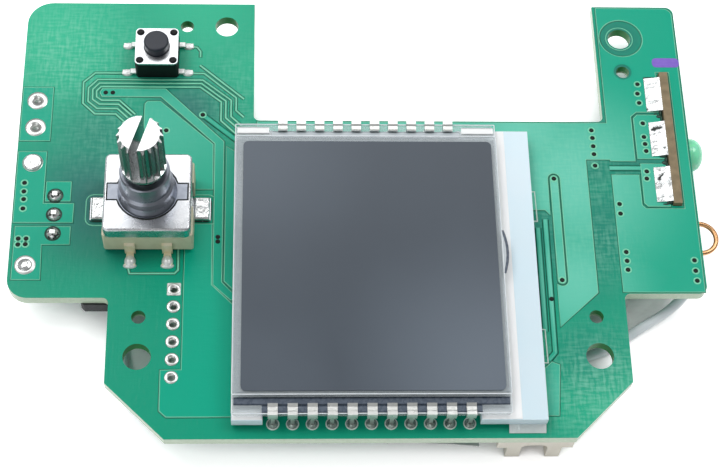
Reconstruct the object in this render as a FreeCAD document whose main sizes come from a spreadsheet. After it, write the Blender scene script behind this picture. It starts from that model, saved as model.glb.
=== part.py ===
"""Display and control board of a hand-held component tester, as a parametric assembly.

Every piece is drawn in the board's own frame: X from the display's centre line, Y from the
board's front edge, Z from the board's top face, in millimetres. Each body is then placed so
that the finished part stands on Z = 0 with its origin under the middle of its outline.
"""
import FreeCAD, Part
import math
import os
import re

import Sketcher

SIZES = {
    # Bare board outline
    "board_left": (48.1, "left edge from the display's centre line"),
    "board_right": (45.9, "right edge from the display's centre line"),
    "board_depth": (67.35, "front edge to the rear edge of both arms"),
    "board_thick": (1.6, "laminate thickness"),
    "under_room": (5.2, "underside of the board to the surface that it stands on"),
    "left_arm_inner": (15.5, "inner edge of the left arm"),
    "right_arm_inner": (33.9, "inner edge of the right arm"),
    "notch_margin": (2.4, "display glass to the floor of the rear notch"),
    "waist_half": (34.55, "half width of the front waist"),
    "left_lobe_floor": (20.0, "front edge of the left lobe"),
    "right_lobe_floor": (20.6, "front edge of the right lobe"),
    "front_half": (26.6, "half width of the straight front edge"),
    "diagonal_rise": (7.8, "depth of the front diagonals"),
    "arm_round": (3.6, "left rear corner radius"),
    "lobe_round": (2.8, "left lobe corner radius"),
    "small_round": (1.2, "right side corner radius"),
    "inner_round": (0.8, "router radius in the inner corners"),
    # Holes for screws and locating pegs
    "screw_front_inset": (4.07, "front screw hole from the waist edge"),
    "screw_front_y": (11.5, "front screw holes from the front edge"),
    "screw_front_r": (1.85, "front screw hole radius"),
    "screw_rear_r": (1.65, "rear screw hole radius"),
    "screw_left_inset": (4.0, "left rear screw hole from the left arm's inner edge"),
    "screw_left_back": (3.95, "left rear screw hole from the rear edge"),
    "screw_right_inset": (3.6, "right rear screw hole from the right arm's inner edge"),
    "screw_right_back": (5.65, "right rear screw hole from the rear edge"),
    "peg_r": (0.95, "locating hole radius"),
    "peg_step": (5.7, "locating hole from its screw hole"),
    # Lands for loose wires and for a pin header
    "wire_pad_inset": (2.25, "wire holes from the left edge"),
    "wire_hole_r": (0.7, "wire hole radius"),
    "sense_pad_y": (46.3, "first open wire hole"),
    "sense_pad_step": (4.35, "step to the second open wire hole"),
    "supply_pad_y": (40.6, "solder filled wire hole"),
    "link_pad_y": (24.85, "hole of the soldered link wire"),
    "header_inset": (8.65, "pin header row from the waist edge"),
    "header_y": (8.55, "front hole of the pin header"),
    "header_pitch": (2.54, "pin header pitch"),
    "header_count": (6, "pin header holes"),
    "header_r": (0.5, "pin header hole radius"),
    # Display glass and its clip-on pins
    "glass_width": (36.0, "rear glass width"),
    "glass_depth": (43.0, "rear glass depth"),
    "glass_thick": (0.7, "thickness of each glass"),
    "glass_front": (2.2, "rear glass from the board's front edge"),
    "glass_round": (0.7, "glass corner radius"),
    "rear_round": (1.3, "rear corner radius of the rear glass and of the backlight under it"),
    "ledge_front": (2.35, "contact ledge left bare at the front"),
    "ledge_rear": (2.25, "contact ledge left bare at the rear"),
    "seal_thick": (0.05, "cell gap with its seal"),
    "seal_inset": (0.3, "seal from the front glass's edge"),
    "seal_wide": (1.0, "seal line width"),
    "polariser_thick": (0.16, "thickness of each polariser"),
    "polariser_left": (1.2, "front polariser from the glass's left edge"),
    "polariser_right": (0.8, "front polariser from the glass's right edge"),
    "polariser_front": (0.5, "front polariser from the front glass's front edge"),
    "polariser_rear": (1.05, "front polariser from the front glass's rear edge"),
    "end_seal_y": (25.0, "middle of the fill port's end seal"),
    "end_seal_long": (6.4, "end seal length"),
    "end_seal_bulge": (0.55, "end seal beyond the glass"),
    "lcd_pitch": (2.54, "display pin pitch"),
    "lcd_rear_count": (10, "display pins at the rear"),
    "lcd_front_count": (11, "display pins at the front"),
    "clip_wide": (1.3, "width of a pin's clip"),
    "clip_sheet": (0.25, "sheet of a pin"),
    "clip_jaw": (1.3, "reach of a clip over the glass"),
    "clip_gap": (0.03, "clip from the glass's edge"),
    "leg_wide": (0.5, "width of a pin's leg"),
    "leg_tail": (1.0, "leg below the board"),
    "leg_hole_r": (0.42, "hole for a leg"),
    # Backlight
    "tape_thick": (0.5, "adhesive tape under the backlight"),
    "tape_wide": (5.0, "tape strip width"),
    "tape_spread": (13.5, "tape strip from the centre line"),
    "film_thick": (0.1, "thickness of the reflector and of the diffuser"),
    "guide_thick": (1.5, "light guide thickness"),
    "guide_front": (1.7, "light guide from the board's front edge"),
    "guide_depth": (43.0, "light guide depth"),
    "guide_overhang": (4.65, "light guide beyond the glass's right edge"),
    "notch_side_gap": (0.65, "light guide's pin notch beside the outer clips"),
    "notch_end_gap": (0.3, "light guide's pin notch beyond the clips' jaws"),
    "diffuser_overhang": (1.3, "diffuser beyond the glass's right edge"),
    "film_inset": (0.1, "films from the light guide's edge"),
    "lip_wide": (4.8, "width of the reflector's loose corner"),
    "lip_out": (1.05, "reach of the reflector's loose corner"),
    "led_wide": (1.4, "backlight lamp width"),
    "led_long": (3.8, "backlight lamp length"),
    "led_high": (1.0, "backlight lamp height"),
    "led_gap": (0.1, "clearance round a backlight lamp"),
    "led_front_y": (13.0, "front backlight lamp"),
    "led_step": (21.0, "step to the rear backlight lamp"),
    # Rotary encoder with a push switch
    "enc_left": (29.4, "encoder axis, left of the centre line"),
    "enc_y": (32.55, "encoder axis from the front edge"),
    "enc_stand": (0.6, "encoder base above the board"),
    "enc_base_wide": (12.0, "encoder base width"),
    "enc_base_deep": (11.2, "encoder base depth"),
    "enc_base_top": (4.5, "top of the encoder base above the board"),
    "well_r": (4.8, "encoder well radius"),
    "well_floor": (1.9, "encoder well floor above the board"),
    "dome_well_r": (2.6, "push switch chamber radius"),
    "dome_well_floor": (1.1, "push switch chamber floor above the board"),
    "shell_wide": (11.6, "encoder shell width"),
    "shell_deep": (11.7, "encoder shell depth"),
    "shell_top": (6.5, "top of the encoder shell above the board"),
    "shell_sheet": (0.4, "encoder shell sheet"),
    "shell_round": (0.8, "encoder shell corner radius"),
    "lug_wide": (3.4, "encoder lug width"),
    "lug_back": (0.65, "encoder lug behind the axis"),
    "lug_foot": (2.35, "encoder lug's foot beyond the shell"),
    "lug_solder_high": (0.4, "solder on a lug's foot"),
    "flange_r": (4.1, "encoder bushing flange radius"),
    "wing_wide": (2.3, "encoder bushing wing width"),
    "shell_gap": (0.12, "gap between the shell and the bushing"),
    "skirt_high": (1.2, "flared skirt of the bushing above the shell"),
    "neck_low_r": (3.65, "lower neck radius of the bushing"),
    "neck_step": (9.2, "height of the neck's step above the board"),
    "neck_top_r": (3.3, "upper neck radius of the bushing"),
    "neck_top": (12.2, "top of the bushing above the board"),
    "shaft_r": (2.3, "shaft journal radius"),
    "shaft_clear": (0.05, "radial running clearance of the shaft"),
    "shaft_top": (21.5, "top of the shaft above the board"),
    "knurl_r": (2.95, "knurl tip radius"),
    "knurl_root_r": (2.55, "knurl root radius"),
    "knurl_long": (7.4, "knurl length"),
    "knurl_teeth": (18, "knurl teeth"),
    "knurl_fall": (0.55, "fall of the knurl's tips below the shaft's end"),
    "collar_long": (0.75, "plain collar under the knurl"),
    "slot_wide": (1.05, "screwdriver slot width"),
    "slot_turn": (17, "slot direction, clockwise from the rear"),
    "edge_break": (0.15, "bevel of the shaft's edges"),
    "push_travel": (0.5, "travel of the shaft's push switch"),
    "drive_r": (2.0, "shaft's drive end radius"),
    "drive_flat": (1.5, "shaft's drive flats from the axis"),
    "nib_long": (0.6, "length of the nibs that press the domes"),
    "shaft_flange_r": (2.7, "shaft's retaining flange radius"),
    "shaft_flange_long": (0.5, "shaft's retaining flange length"),
    "recess_deep": (0.25, "spring recess in the bushing's underside"),
    "rotor_r": (4.5, "rotor radius"),
    "rotor_low": (2.9, "rotor underside above the board"),
    "rotor_top": (4.3, "rotor top above the board"),
    "detents": (20, "detent notches of the rotor"),
    "strip_thick": (0.15, "contact and spring strip thickness"),
    "terminal_wide": (1.4, "encoder terminal width"),
    "terminal_neck": (0.9, "encoder terminal's width at its bend"),
    "terminal_sheet": (0.35, "encoder terminal sheet"),
    "terminal_high": (2.4, "encoder terminal exit above the board"),
    "terminal_reach": (2.3, "encoder terminal's foot beyond the base"),
    "terminal_pitch": (2.5, "encoder terminal pitch"),
    # Push button
    "button_left": (29.2, "button axis, left of the centre line"),
    "button_back": (9.7, "button axis from the rear edge"),
    "button_wide": (6.0, "button base width"),
    "button_base_top": (3.2, "button base height"),
    "button_cavity_r": (2.25, "button cavity radius"),
    "button_cavity_floor": (1.1, "button cavity floor above the board"),
    "button_sheet": (0.3, "button cover and leg sheet"),
    "post_spread": (2.33, "rivet posts from the button's axis"),
    "post_r": (0.5, "rivet post radius"),
    "post_rise": (0.2, "rivet head above the cover"),
    "plunger_r": (1.75, "plunger radius"),
    "plunger_clear": (0.1, "plunger clearance in the cover"),
    "plunger_top": (5.0, "plunger top above the board"),
    "plunger_flange_r": (2.1, "plunger flange radius"),
    "button_leg_wide": (0.7, "button leg width"),
    "button_leg_reach": (1.95, "button leg beyond the base"),
    "button_leg_spread": (2.25, "button legs from the button's axis"),
    # Standing side board and what it carries
    "side_inset": (2.7, "side board's middle from the right edge"),
    "side_thick": (1.2, "side board thickness"),
    "side_front": (34.2, "side board's front end"),
    "side_long": (21.4, "side board length"),
    "side_rise": (0.7, "side board above the main board"),
    "side_clear": (0.12, "clearance of the side board in its slot"),
    "joint_wide": (2.3, "side joint's foot on the board"),
    "joint_long": (5.5, "side joint length"),
    "joint_step": (7.35, "step between the side joints"),
    "joint_margin": (0.4, "first side joint from the side board's front end"),
    "lamp_y": (44.6, "indicator lamp from the front edge"),
    "lamp_drop": (2.65, "indicator lamp's axis below the board's underside"),
    "lamp_r": (2.4, "indicator lamp lens radius"),
    "lamp_flange_r": (2.55, "indicator lamp flange radius"),
    "lamp_flange": (0.8, "indicator lamp flange thickness"),
    "lamp_long": (4.75, "indicator lamp length"),
    "lamp_dome": (1.7, "indicator lamp dome radius"),
    "lead_wide": (0.5, "lead of the lamp and of the connector"),
    "lead_pitch": (2.54, "lamp lead pitch"),
    "lead_tail": (0.9, "lamp lead beyond the side board"),
    # Shunt wire loop at the right edge
    "loop_reach": (3.0, "loop beyond the right edge"),
    "loop_y": (30.0, "middle of the loop from the front edge"),
    "loop_r": (2.28, "bend radius of the loop's wire"),
    "loop_wire_r": (0.35, "loop wire radius"),
    "loop_leg": (4.5, "straight leg of the loop"),
    # Side entry connector under the front edge
    "socket_x": (21.45, "connector's middle from the centre line"),
    "socket_wide": (7.2, "connector body width"),
    "socket_deep": (7.6, "connector depth"),
    "socket_ear": (1.4, "connector ear beyond the body"),
    "socket_ear_high": (1.9, "connector ear height"),
    "mouth_wide": (3.45, "connector mouth width"),
    "mouth_roof": (1.1, "connector wall over the mouth"),
    "mouth_round": (1.0, "rounding of the mouth's roof"),
    "socket_back": (1.2, "connector's rear wall"),
    "contact_pitch": (2.0, "connector contact pitch"),
    # Power transistor laid under the encoder
    "power_inset": (5.65, "transistor leads from the left edge"),
    "power_y": (32.5, "transistor's middle from the front edge"),
    "power_pitch": (2.93, "transistor lead pitch at the board"),
    "power_wide": (10.0, "transistor width"),
    "power_thick": (4.5, "transistor thickness"),
    "power_body_long": (9.0, "moulded body length"),
    "power_long": (15.5, "moulded body and tab length"),
    "power_stand": (4.0, "leads from the moulded body"),
    "power_tab": (1.3, "tab thickness"),
    "power_tab_hole_r": (1.8, "tab hole radius"),
    "power_lead_high": (2.4, "leads above the tab's face"),
    "power_lead_wide": (0.7, "transistor lead width"),
    "power_lead_rise": (0.75, "transistor leads above the board"),
    "power_hole_r": (0.5, "transistor lead hole radius"),
    "power_joint_r": (0.95, "transistor solder joint radius"),
    # Other parts on the underside
    "chip_x": (-2.0, "controller's middle from the centre line"),
    "chip_y": (26.0, "controller's middle from the front edge"),
    "chip_wide": (7.0, "controller body width"),
    "chip_thick": (1.4, "controller body thickness"),
    "chip_stand": (0.1, "controller body below the board"),
    "chip_lead_pitch": (0.5, "controller lead pitch"),
    "chip_lead_wide": (0.22, "controller lead width"),
    "chip_lead_count": (12, "controller leads on a side"),
    "chip_lead_reach": (1.0, "controller lead beyond the body"),
    "crystal_x": (8.5, "crystal from the centre line"),
    "crystal_y": (31.0, "crystal from the front edge"),
    "crystal_long": (10.5, "crystal can length"),
    "crystal_wide": (3.8, "crystal can width"),
    "crystal_high": (3.3, "crystal can height"),
    "coil_x": (-36.4, "inductor from the centre line"),
    "coil_wide": (4.0, "inductor width"),
    "coil_high": (2.0, "inductor height"),
    "coil_out": (0.3, "inductor beyond the left lobe's front edge"),
    "small_long": (1.6, "chip resistor and capacitor length"),
    "small_wide": (0.8, "chip resistor and capacitor width"),
    "resistor_high": (0.45, "chip resistor height"),
    "capacitor_high": (0.8, "chip capacitor height"),
    "small_pitch": (2.4, "step between the small chips"),
    "small_count": (7, "small chips in a row"),
    "resistor_y": (17.5, "row of chip resistors"),
    "capacitor_y": (36.5, "row of chip capacitors"),
    "paper_x": (2.0, "insulating strip's left end"),
    "paper_flat": (4.5, "stuck stretch of the insulating strip"),
    "paper_free": (7.6, "loose stretch of the insulating strip"),
    "paper_droop": (1.2, "droop of the strip's loose end"),
    "paper_thick": (0.35, "insulating strip thickness"),
    "paper_gap": (0.4, "insulating strip from the display's front legs"),
    # Link wire
    "wire_r": (0.68, "link wire radius over its insulation"),
    "strand_r": (0.35, "tinned end radius"),
    "strand_rise": (0.3, "tinned end above the board"),
    "strand_drop": (2.9, "tinned end's bend below the board's top"),
    "joint_clear": (0.05, "solder from a round wire"),
    "solder_r": (1.35, "solder joint radius on a wire hole"),
    "solder_high": (0.5, "solder joint height on a wire hole"),
}

# Levels above the board's top face, from the stack of pieces below each one
REFLECTOR_Z = "tape_thick"
GUIDE_Z = "(tape_thick + film_thick)"
DIFFUSER_Z = "(tape_thick + film_thick + guide_thick)"
REAR_POLARISER_Z = "(tape_thick + 2*film_thick + guide_thick)"
REAR_GLASS_Z = "(tape_thick + 2*film_thick + guide_thick + polariser_thick)"
SEAL_Z = f"({REAR_GLASS_Z} + glass_thick)"
FRONT_GLASS_Z = f"({SEAL_Z} + seal_thick)"
FRONT_POLARISER_Z = f"({FRONT_GLASS_Z} + glass_thick)"
UNDERSIDE = "(-board_thick)"
FLOOR = "(-board_thick - under_room)"

# Places that several pieces share
GLASS_REAR = "(glass_front + glass_depth)"
NOTCH_FLOOR = f"({GLASS_REAR} + notch_margin)"
GUIDE_RIGHT = "(glass_width/2 + guide_overhang)"
FRONT_LEG_Y = "(glass_front - clip_gap - clip_sheet/2)"
REAR_LEG_Y = f"({GLASS_REAR} + clip_gap + clip_sheet/2)"
WIRE_PAD_X = "(-board_left + wire_pad_inset)"
POWER_X = "(-board_left + power_inset)"
SIDE_X = "(board_right - side_inset)"
SIDE_OUTER = f"({SIDE_X} + side_thick/2)"
LAMP_Z = "(-board_thick - lamp_drop)"
SCREW_FRONT_X = "(waist_half - screw_front_inset)"
HEADER_X = "(header_inset - waist_half)"
SCREW_LEFT = ("(-left_arm_inner - screw_left_inset)", "(board_depth - screw_left_back)")
SCREW_RIGHT = ("(right_arm_inner + screw_right_inset)", "(board_depth - screw_right_back)")
KNURL_Z = "(shaft_top - knurl_long)"
RECESS_TOP = "(enc_base_top + recess_deep)"
SHAFT_FLANGE_TOP = f"({RECESS_TOP} - shaft_clear)"
SHAFT_FLANGE_LOW = f"({SHAFT_FLANGE_TOP} - shaft_flange_long)"

# The link wire's route, from the left pad to the right lobe, in the board's frame
WIRE_ROUTE = [
    (-43.671, 24.874, -3.635),
    (-39.98, 24.915, -4.881),
    (-36.0, 23.8, -6.05),
    (-33.6, 19.4, -6.05),
    (-32.1, 7.4, -6.05),
    (-27.0, 3.9, -6.05),
    (-14.0, 2.2, -6.05),
    (31.4, 13.9, -6.05),
    (36.1, 17.3, -5.95),
    (43.0, 21.05, -4.75),
    (44.8, 23.6, -2.7),
]
ARC_SHARE = 0.45

SAME = 1e-6

DOCUMENT = FreeCAD.newDocument("component_tester_board")
SHEET = DOCUMENT.addObject("Spreadsheet::Sheet", "Sizes")
PIECES = []


def fill_sheet():
    """Write each size to a row of the sheet: its name, its value and what it is."""
    for line, (name, (value, meaning)) in enumerate(SIZES.items(), start=1):
        SHEET.set(f"A{line}", name)
        SHEET.set(f"B{line}", str(value))
        SHEET.set(f"C{line}", meaning)
        SHEET.setAlias(f"B{line}", name)
    DOCUMENT.recompute()


def tie(text):
    """An expression on the sheet, from plain words that name its sizes."""
    return re.sub(r"[a-z][a-z_]*", lambda found: named(found.group(0)), text)


def named(word):
    return f"Sizes.{word}" if word in SIZES else word


def size(text):
    """The present value of an expression."""
    value = SHEET.evalExpression(tie(text))
    return float(getattr(value, "Value", value))


def stand(item, x, y, z):
    """Place an item of the board's frame in the frame of the standing part."""
    item.setExpression("Placement.Base.x", tie(f"{x} + (board_left - board_right - loop_reach)/2"))
    item.setExpression("Placement.Base.y", tie(f"{y} - board_depth/2"))
    item.setExpression("Placement.Base.z", tie(f"{z} + board_thick + under_room"))


def piece(label, x="0", y="0", z="0", turned=0, many=False):
    """A new body at a place of the board's frame, turned about its upright axis."""
    body = DOCUMENT.addObject("PartDesign::Body", label)
    body.Label = label
    body.AllowCompound = many
    body.Placement = FreeCAD.Placement(FreeCAD.Vector(), FreeCAD.Rotation(FreeCAD.Vector(0, 0, 1), turned))
    stand(body, x, y, z)
    PIECES.append(body)
    return body


def origin_feature(body, role):
    return next(item for item in body.Origin.OriginFeatures if item.Role == role)


def bind(sketch, kind, text, *where):
    """Add a dimension to a sketch and tie it to the sheet."""
    index = sketch.addConstraint(Sketcher.Constraint(kind, *where, size(text)))
    sketch.setExpression(f"Constraints[{index}]", tie(text))


def draw(body, role, loops, lift="0"):
    """Sketch closed loops on an origin plane: corner lists, or (x, y, radius) for a circle."""
    sketch = body.newObject("Sketcher::SketchObject", "outline")
    sketch.AttachmentSupport = [(origin_feature(body, role), "")]
    sketch.MapMode = "FlatFace"
    sketch.setExpression("AttachmentOffset.Base.z", tie(lift))
    for loop in loops:
        if isinstance(loop, tuple):
            add_circle(sketch, *loop)
        else:
            add_polygon(sketch, loop)
    return sketch


def add_circle(sketch, x, y, radius):
    centre = FreeCAD.Vector(size(x), size(y), 0)
    item = sketch.addGeometry(Part.Circle(centre, FreeCAD.Vector(0, 0, 1), size(radius)))
    bind(sketch, "DistanceX", x, -1, 1, item, 3)
    bind(sketch, "DistanceY", y, -1, 1, item, 3)
    bind(sketch, "Radius", radius, item)


def add_polygon(sketch, corners):
    points = [FreeCAD.Vector(size(x), size(y), 0) for x, y in corners]
    count = len(points)
    sides = [Part.LineSegment(points[i], points[(i + 1) % count]) for i in range(count)]
    lines = [sketch.addGeometry(side) for side in sides]
    for i, (x, y) in enumerate(corners):
        sketch.addConstraint(Sketcher.Constraint("Coincident", lines[i], 2, lines[(i + 1) % count], 1))
        bind(sketch, "DistanceX", x, -1, 1, lines[i], 1)
        bind(sketch, "DistanceY", y, -1, 1, lines[i], 1)


def box_loop(x_low, y_low, x_high, y_high):
    return [(x_low, y_low), (x_high, y_low), (x_high, y_high), (x_low, y_high)]


def block_loop(wide, deep, x="0", y="0"):
    """A rectangle about a middle point."""
    return box_loop(f"{x} - ({wide})/2", f"{y} - ({deep})/2", f"{x} + ({wide})/2", f"{y} + ({deep})/2")


def pad(body, loops, length, lift="0", role="XY_Plane", middle=False):
    """Raise loops to a solid, to one side of their plane or to both."""
    feature = body.newObject("PartDesign::Pad", "pad")
    feature.Profile = draw(body, role, loops, lift)
    feature.Midplane = middle
    feature.setExpression("Length", tie(length))
    DOCUMENT.recompute()
    return feature


def pocket(body, loops, depth, lift="0", role="XY_Plane", upward=False, middle=False):
    """Cut loops out of the body, and make sure that something was cut."""
    before = body.Shape.Volume
    feature = body.newObject("PartDesign::Pocket", "pocket")
    feature.Profile = draw(body, role, loops, lift)
    feature.Midplane = middle
    feature.Reversed = upward
    feature.setExpression("Length", tie(depth))
    DOCUMENT.recompute()
    if body.Shape.Volume > before - SAME:
        raise RuntimeError(f"a pocket of {body.Label} cuts nothing")
    return feature


def spin(body, loops, angle=360):
    """Turn loops of radius and height about the body's upright axis."""
    feature = body.newObject("PartDesign::Revolution", "spin")
    sketch = draw(body, "XZ_Plane", loops)
    feature.Profile = sketch
    feature.ReferenceAxis = (sketch, ["V_Axis"])
    feature.Angle = angle
    DOCUMENT.recompute()
    return feature


def turn_away(body, loops):
    """Cut loops of radius and height away all round the body's upright axis."""
    before = body.Shape.Volume
    feature = body.newObject("PartDesign::Groove", "turn")
    sketch = draw(body, "XZ_Plane", loops)
    feature.Profile = sketch
    feature.ReferenceAxis = (sketch, ["V_Axis"])
    feature.Angle = 360
    DOCUMENT.recompute()
    if body.Shape.Volume > before - SAME:
        raise RuntimeError(f"a turned cut of {body.Label} cuts nothing")
    return feature


def row(body, features, axis, step, count):
    """Repeat features in a straight row."""
    pattern = body.newObject("PartDesign::LinearPattern", "row")
    pattern.Originals = features
    pattern.Direction = (origin_feature(body, axis), [""])
    pattern.Mode = "Spacing"
    pattern.setExpression("Offset", tie(step))
    pattern.setExpression("Occurrences", tie(count))
    body.Tip = pattern
    DOCUMENT.recompute()
    return pattern


def wheel(body, features, count):
    """Repeat features round the body's upright axis."""
    pattern = body.newObject("PartDesign::PolarPattern", "wheel")
    pattern.Originals = features
    pattern.Axis = (origin_feature(body, "Z_Axis"), [""])
    pattern.Angle = 360
    pattern.setExpression("Occurrences", tie(count))
    body.Tip = pattern
    DOCUMENT.recompute()
    return pattern


def mirror(body, features, role):
    """Repeat features on the other side of an origin plane."""
    pattern = body.newObject("PartDesign::Mirrored", "mirror")
    pattern.Originals = features
    pattern.MirrorPlane = (origin_feature(body, role), [""])
    body.Tip = pattern
    DOCUMENT.recompute()
    return pattern


def soften(body, radius, chosen, kind="PartDesign::Fillet"):
    """Round or bevel the edges that a test chooses."""
    base = body.Tip
    names = [f"Edge{i}" for i, edge in enumerate(base.Shape.Edges, start=1) if chosen(edge)]
    if not names:
        raise RuntimeError(f"no edge of {body.Label} to soften")
    feature = body.newObject(kind, "soften")
    feature.Base = (base, names)
    feature.setExpression("Radius" if kind.endswith("Fillet") else "Size", tie(radius))
    DOCUMENT.recompute()
    return feature


def level(height):
    """Choose the edges that lie flat at a height."""
    z = size(height)
    return lambda edge: abs(edge.BoundBox.ZMin - z) < SAME and abs(edge.BoundBox.ZMax - z) < SAME


def upright(*places):
    """Choose straight upright edges, all of them or those at given places."""
    spots = [(size(x), size(y)) for x, y in places]

    def chosen(edge):
        box = edge.BoundBox
        if box.XLength > SAME or box.YLength > SAME:
            return False
        return not spots or any(math.dist((box.XMin, box.YMin), spot) < SAME for spot in spots)

    return chosen


def lcd_pin_x(index, count):
    return f"(({index} - ({count} - 1)/2)*lcd_pitch)"


def main_board():
    """The bare laminate: two arms, a waist, front diagonals and every drilled hole."""
    body = piece("main_board")
    corners = [
        ("-front_half", "0"),
        ("front_half", "0"),
        ("waist_half", "diagonal_rise"),
        ("waist_half", "right_lobe_floor"),
        ("board_right", "right_lobe_floor"),
        ("board_right", "board_depth"),
        ("right_arm_inner", "board_depth"),
        ("right_arm_inner", NOTCH_FLOOR),
        ("-left_arm_inner", NOTCH_FLOOR),
        ("-left_arm_inner", "board_depth"),
        ("-board_left", "board_depth"),
        ("-board_left", "left_lobe_floor"),
        ("-waist_half", "left_lobe_floor"),
        ("-waist_half", "diagonal_rise"),
    ]
    pad(body, [corners], "board_thick", UNDERSIDE)
    soften(body, "inner_round", upright(corners[3], corners[7], corners[8], corners[12]))
    soften(body, "small_round", upright(corners[4], corners[5]))
    soften(body, "arm_round", upright(corners[10]))
    soften(body, "lobe_round", upright(corners[11]))
    pocket(body, fixing_holes() + lead_holes(), "board_thick")
    for count, y in (("lcd_front_count", FRONT_LEG_Y), ("lcd_rear_count", REAR_LEG_Y)):
        first = pocket(body, [eight_flats(lcd_pin_x(0, count), y, "leg_hole_r")], "board_thick")
        row(body, [first], "X_Axis", "lcd_pitch", count)
    slot_wide = "side_thick + 2*side_clear"
    slot_long = "side_long + 2*side_clear"
    pocket(body, [block_loop(slot_wide, slot_long, SIDE_X, "side_front + side_long/2")], "board_thick")


def fixing_holes():
    """Screw holes, and the locating hole beside each of them."""
    left_x, left_y = SCREW_LEFT
    right_x, right_y = SCREW_RIGHT
    holes = [(left_x, left_y, "screw_rear_r"), (right_x, right_y, "screw_rear_r")]
    holes += [(f"{left_x} - peg_step", left_y, "peg_r"), (right_x, f"{right_y} - peg_step", "peg_r")]
    for side in ("-", ""):
        holes.append((f"{side}{SCREW_FRONT_X}", "screw_front_y", "screw_front_r"))
        holes.append((f"{side}{SCREW_FRONT_X}", "screw_front_y + peg_step", "peg_r"))
    return holes


def lead_holes():
    """Plated holes for the wires, the header and the transistor."""
    wire_rows = ["sense_pad_y", "sense_pad_y + sense_pad_step", "supply_pad_y", "link_pad_y"]
    holes = [(WIRE_PAD_X, y, "wire_hole_r") for y in wire_rows]
    for i in range(round(size("header_count"))):
        holes.append((HEADER_X, f"header_y + {i}*header_pitch", "header_r"))
    for i in (-1, 0, 1):
        holes.append((POWER_X, f"power_y + {i}*power_pitch", "power_hole_r"))
    return holes


def eight_flats(x, y, radius):
    """A hole in eight flats, for the small ones that repeat under the display pins' solder."""
    far = radius
    near = f"{radius}*0.4142"
    signs = [("", ""), ("-", ""), ("-", "-"), ("", "-")]
    corners = []
    for i, (a, b) in enumerate(signs):
        pair = [(f"{x} + {a}{far}", f"{y} + {b}{near}"), (f"{x} + {a}{near}", f"{y} + {b}{far}")]
        corners += pair if i % 2 == 0 else pair[::-1]
    return corners


def display_plates():
    """The two glasses with their seal and polarisers, from the bottom up."""
    front_deep = "(glass_depth - ledge_front - ledge_rear)"
    front_y = "(glass_front + ledge_front)"
    half = "(glass_width/2)"
    notch_front, notch_rear = guide_notch_floors()

    rear_film = piece("lcd_rear_polariser", z=REAR_POLARISER_Z)
    film = box_loop(f"-{half} + polariser_right", notch_front, f"{half} - polariser_right", notch_rear)
    pad(rear_film, [film], "polariser_thick")

    rear = piece("lcd_rear_glass", z=REAR_GLASS_Z)
    pad(rear, [block_loop("glass_width", "glass_depth", y="glass_front + glass_depth/2")], "glass_thick")
    soften(rear, "glass_round", upright((f"-{half}", "glass_front"), (half, "glass_front")))
    soften(rear, "rear_round", upright((f"-{half}", GLASS_REAR), (half, GLASS_REAR)))

    seal = piece("lcd_edge_seal", z=SEAL_Z)
    middle = f"{front_y} + {front_deep}/2"
    outer = block_loop("glass_width - 2*seal_inset", f"{front_deep} - 2*seal_inset", y=middle)
    inset = "2*(seal_inset + seal_wide)"
    inner = block_loop(f"glass_width - {inset}", f"{front_deep} - {inset}", y=middle)
    pad(seal, [outer, inner], "seal_thick")

    front = piece("lcd_front_glass", z=FRONT_GLASS_Z)
    pad(front, [block_loop("glass_width", front_deep, y=middle)], "glass_thick")
    soften(front, "glass_round", upright())

    top = piece("lcd_front_polariser", z=FRONT_POLARISER_Z)
    film = box_loop(
        f"-{half} + polariser_left",
        f"{front_y} + polariser_front",
        f"{half} - polariser_right",
        f"{front_y} + {front_deep} - polariser_rear",
    )
    pad(top, [film], "polariser_thick")
    soften(top, "glass_round", upright())


def display_end_seal():
    """The cured drop that closes the fill port: a slice of a disc against the glass's edge."""
    body = piece("lcd_end_seal", "glass_width/2", "end_seal_y", REAR_GLASS_Z)
    radius = "((end_seal_long*end_seal_long/4 + end_seal_bulge*end_seal_bulge)/(2*end_seal_bulge))"
    high = "(2*glass_thick + seal_thick)"
    pad(body, [(f"end_seal_bulge - {radius}", "0", radius)], high)
    pocket(body, [box_loop(f"-2*{radius}", f"-2*{radius}", "0", f"2*{radius}")], high, upward=True)


def display_pins():
    """Clip-on pins: sprung jaws over the contact ledges, with a narrow leg through the board."""
    for label, side, edge, count in (
        ("lcd_pins_front", "-", "glass_front", "lcd_front_count"),
        ("lcd_pins_rear", "", GLASS_REAR, "lcd_rear_count"),
    ):
        body = piece(label, lcd_pin_x(0, count), edge, REAR_GLASS_Z, many=True)
        tip = f"{side}(-clip_jaw)"
        bend = f"{side}(-clip_jaw*0.68)"
        rise = f"{side}(-clip_jaw*0.35)"
        crown = f"{side}(-clip_jaw*0.15)"
        inner = f"{side}clip_gap"
        outer = f"{side}(clip_gap + clip_sheet)"
        clip = [
            (tip, "glass_thick + clip_sheet"),
            (bend, "glass_thick"),
            (rise, "glass_thick"),
            (crown, "glass_thick + clip_sheet*0.6"),
            (inner, "glass_thick + clip_sheet*0.6"),
            (inner, "0"),
            (bend, "0"),
            (bend, "-clip_sheet"),
            (outer, "-clip_sheet"),
            (outer, "glass_thick + clip_sheet*1.6"),
            (crown, "glass_thick + clip_sheet*1.6"),
            (rise, "glass_thick + clip_sheet"),
            (bend, "glass_thick + clip_sheet"),
            (tip, "glass_thick + clip_sheet*2"),
        ]
        jaws = pad(body, [clip], "clip_wide", role="YZ_Plane", middle=True)
        tail = f"-{REAR_GLASS_Z} - board_thick - leg_tail"
        strip = box_loop(inner, tail, outer, "-clip_sheet")
        leg = pad(body, [strip], "leg_wide", role="YZ_Plane", middle=True)
        row(body, [jaws, leg], "X_Axis", "lcd_pitch", count)


def guide_notch_floors():
    """How far the backlight's pin notches reach in from the front and from the rear."""
    return "(glass_front + clip_jaw + notch_end_gap)", f"({GLASS_REAR} - clip_jaw - notch_end_gap)"


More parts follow.
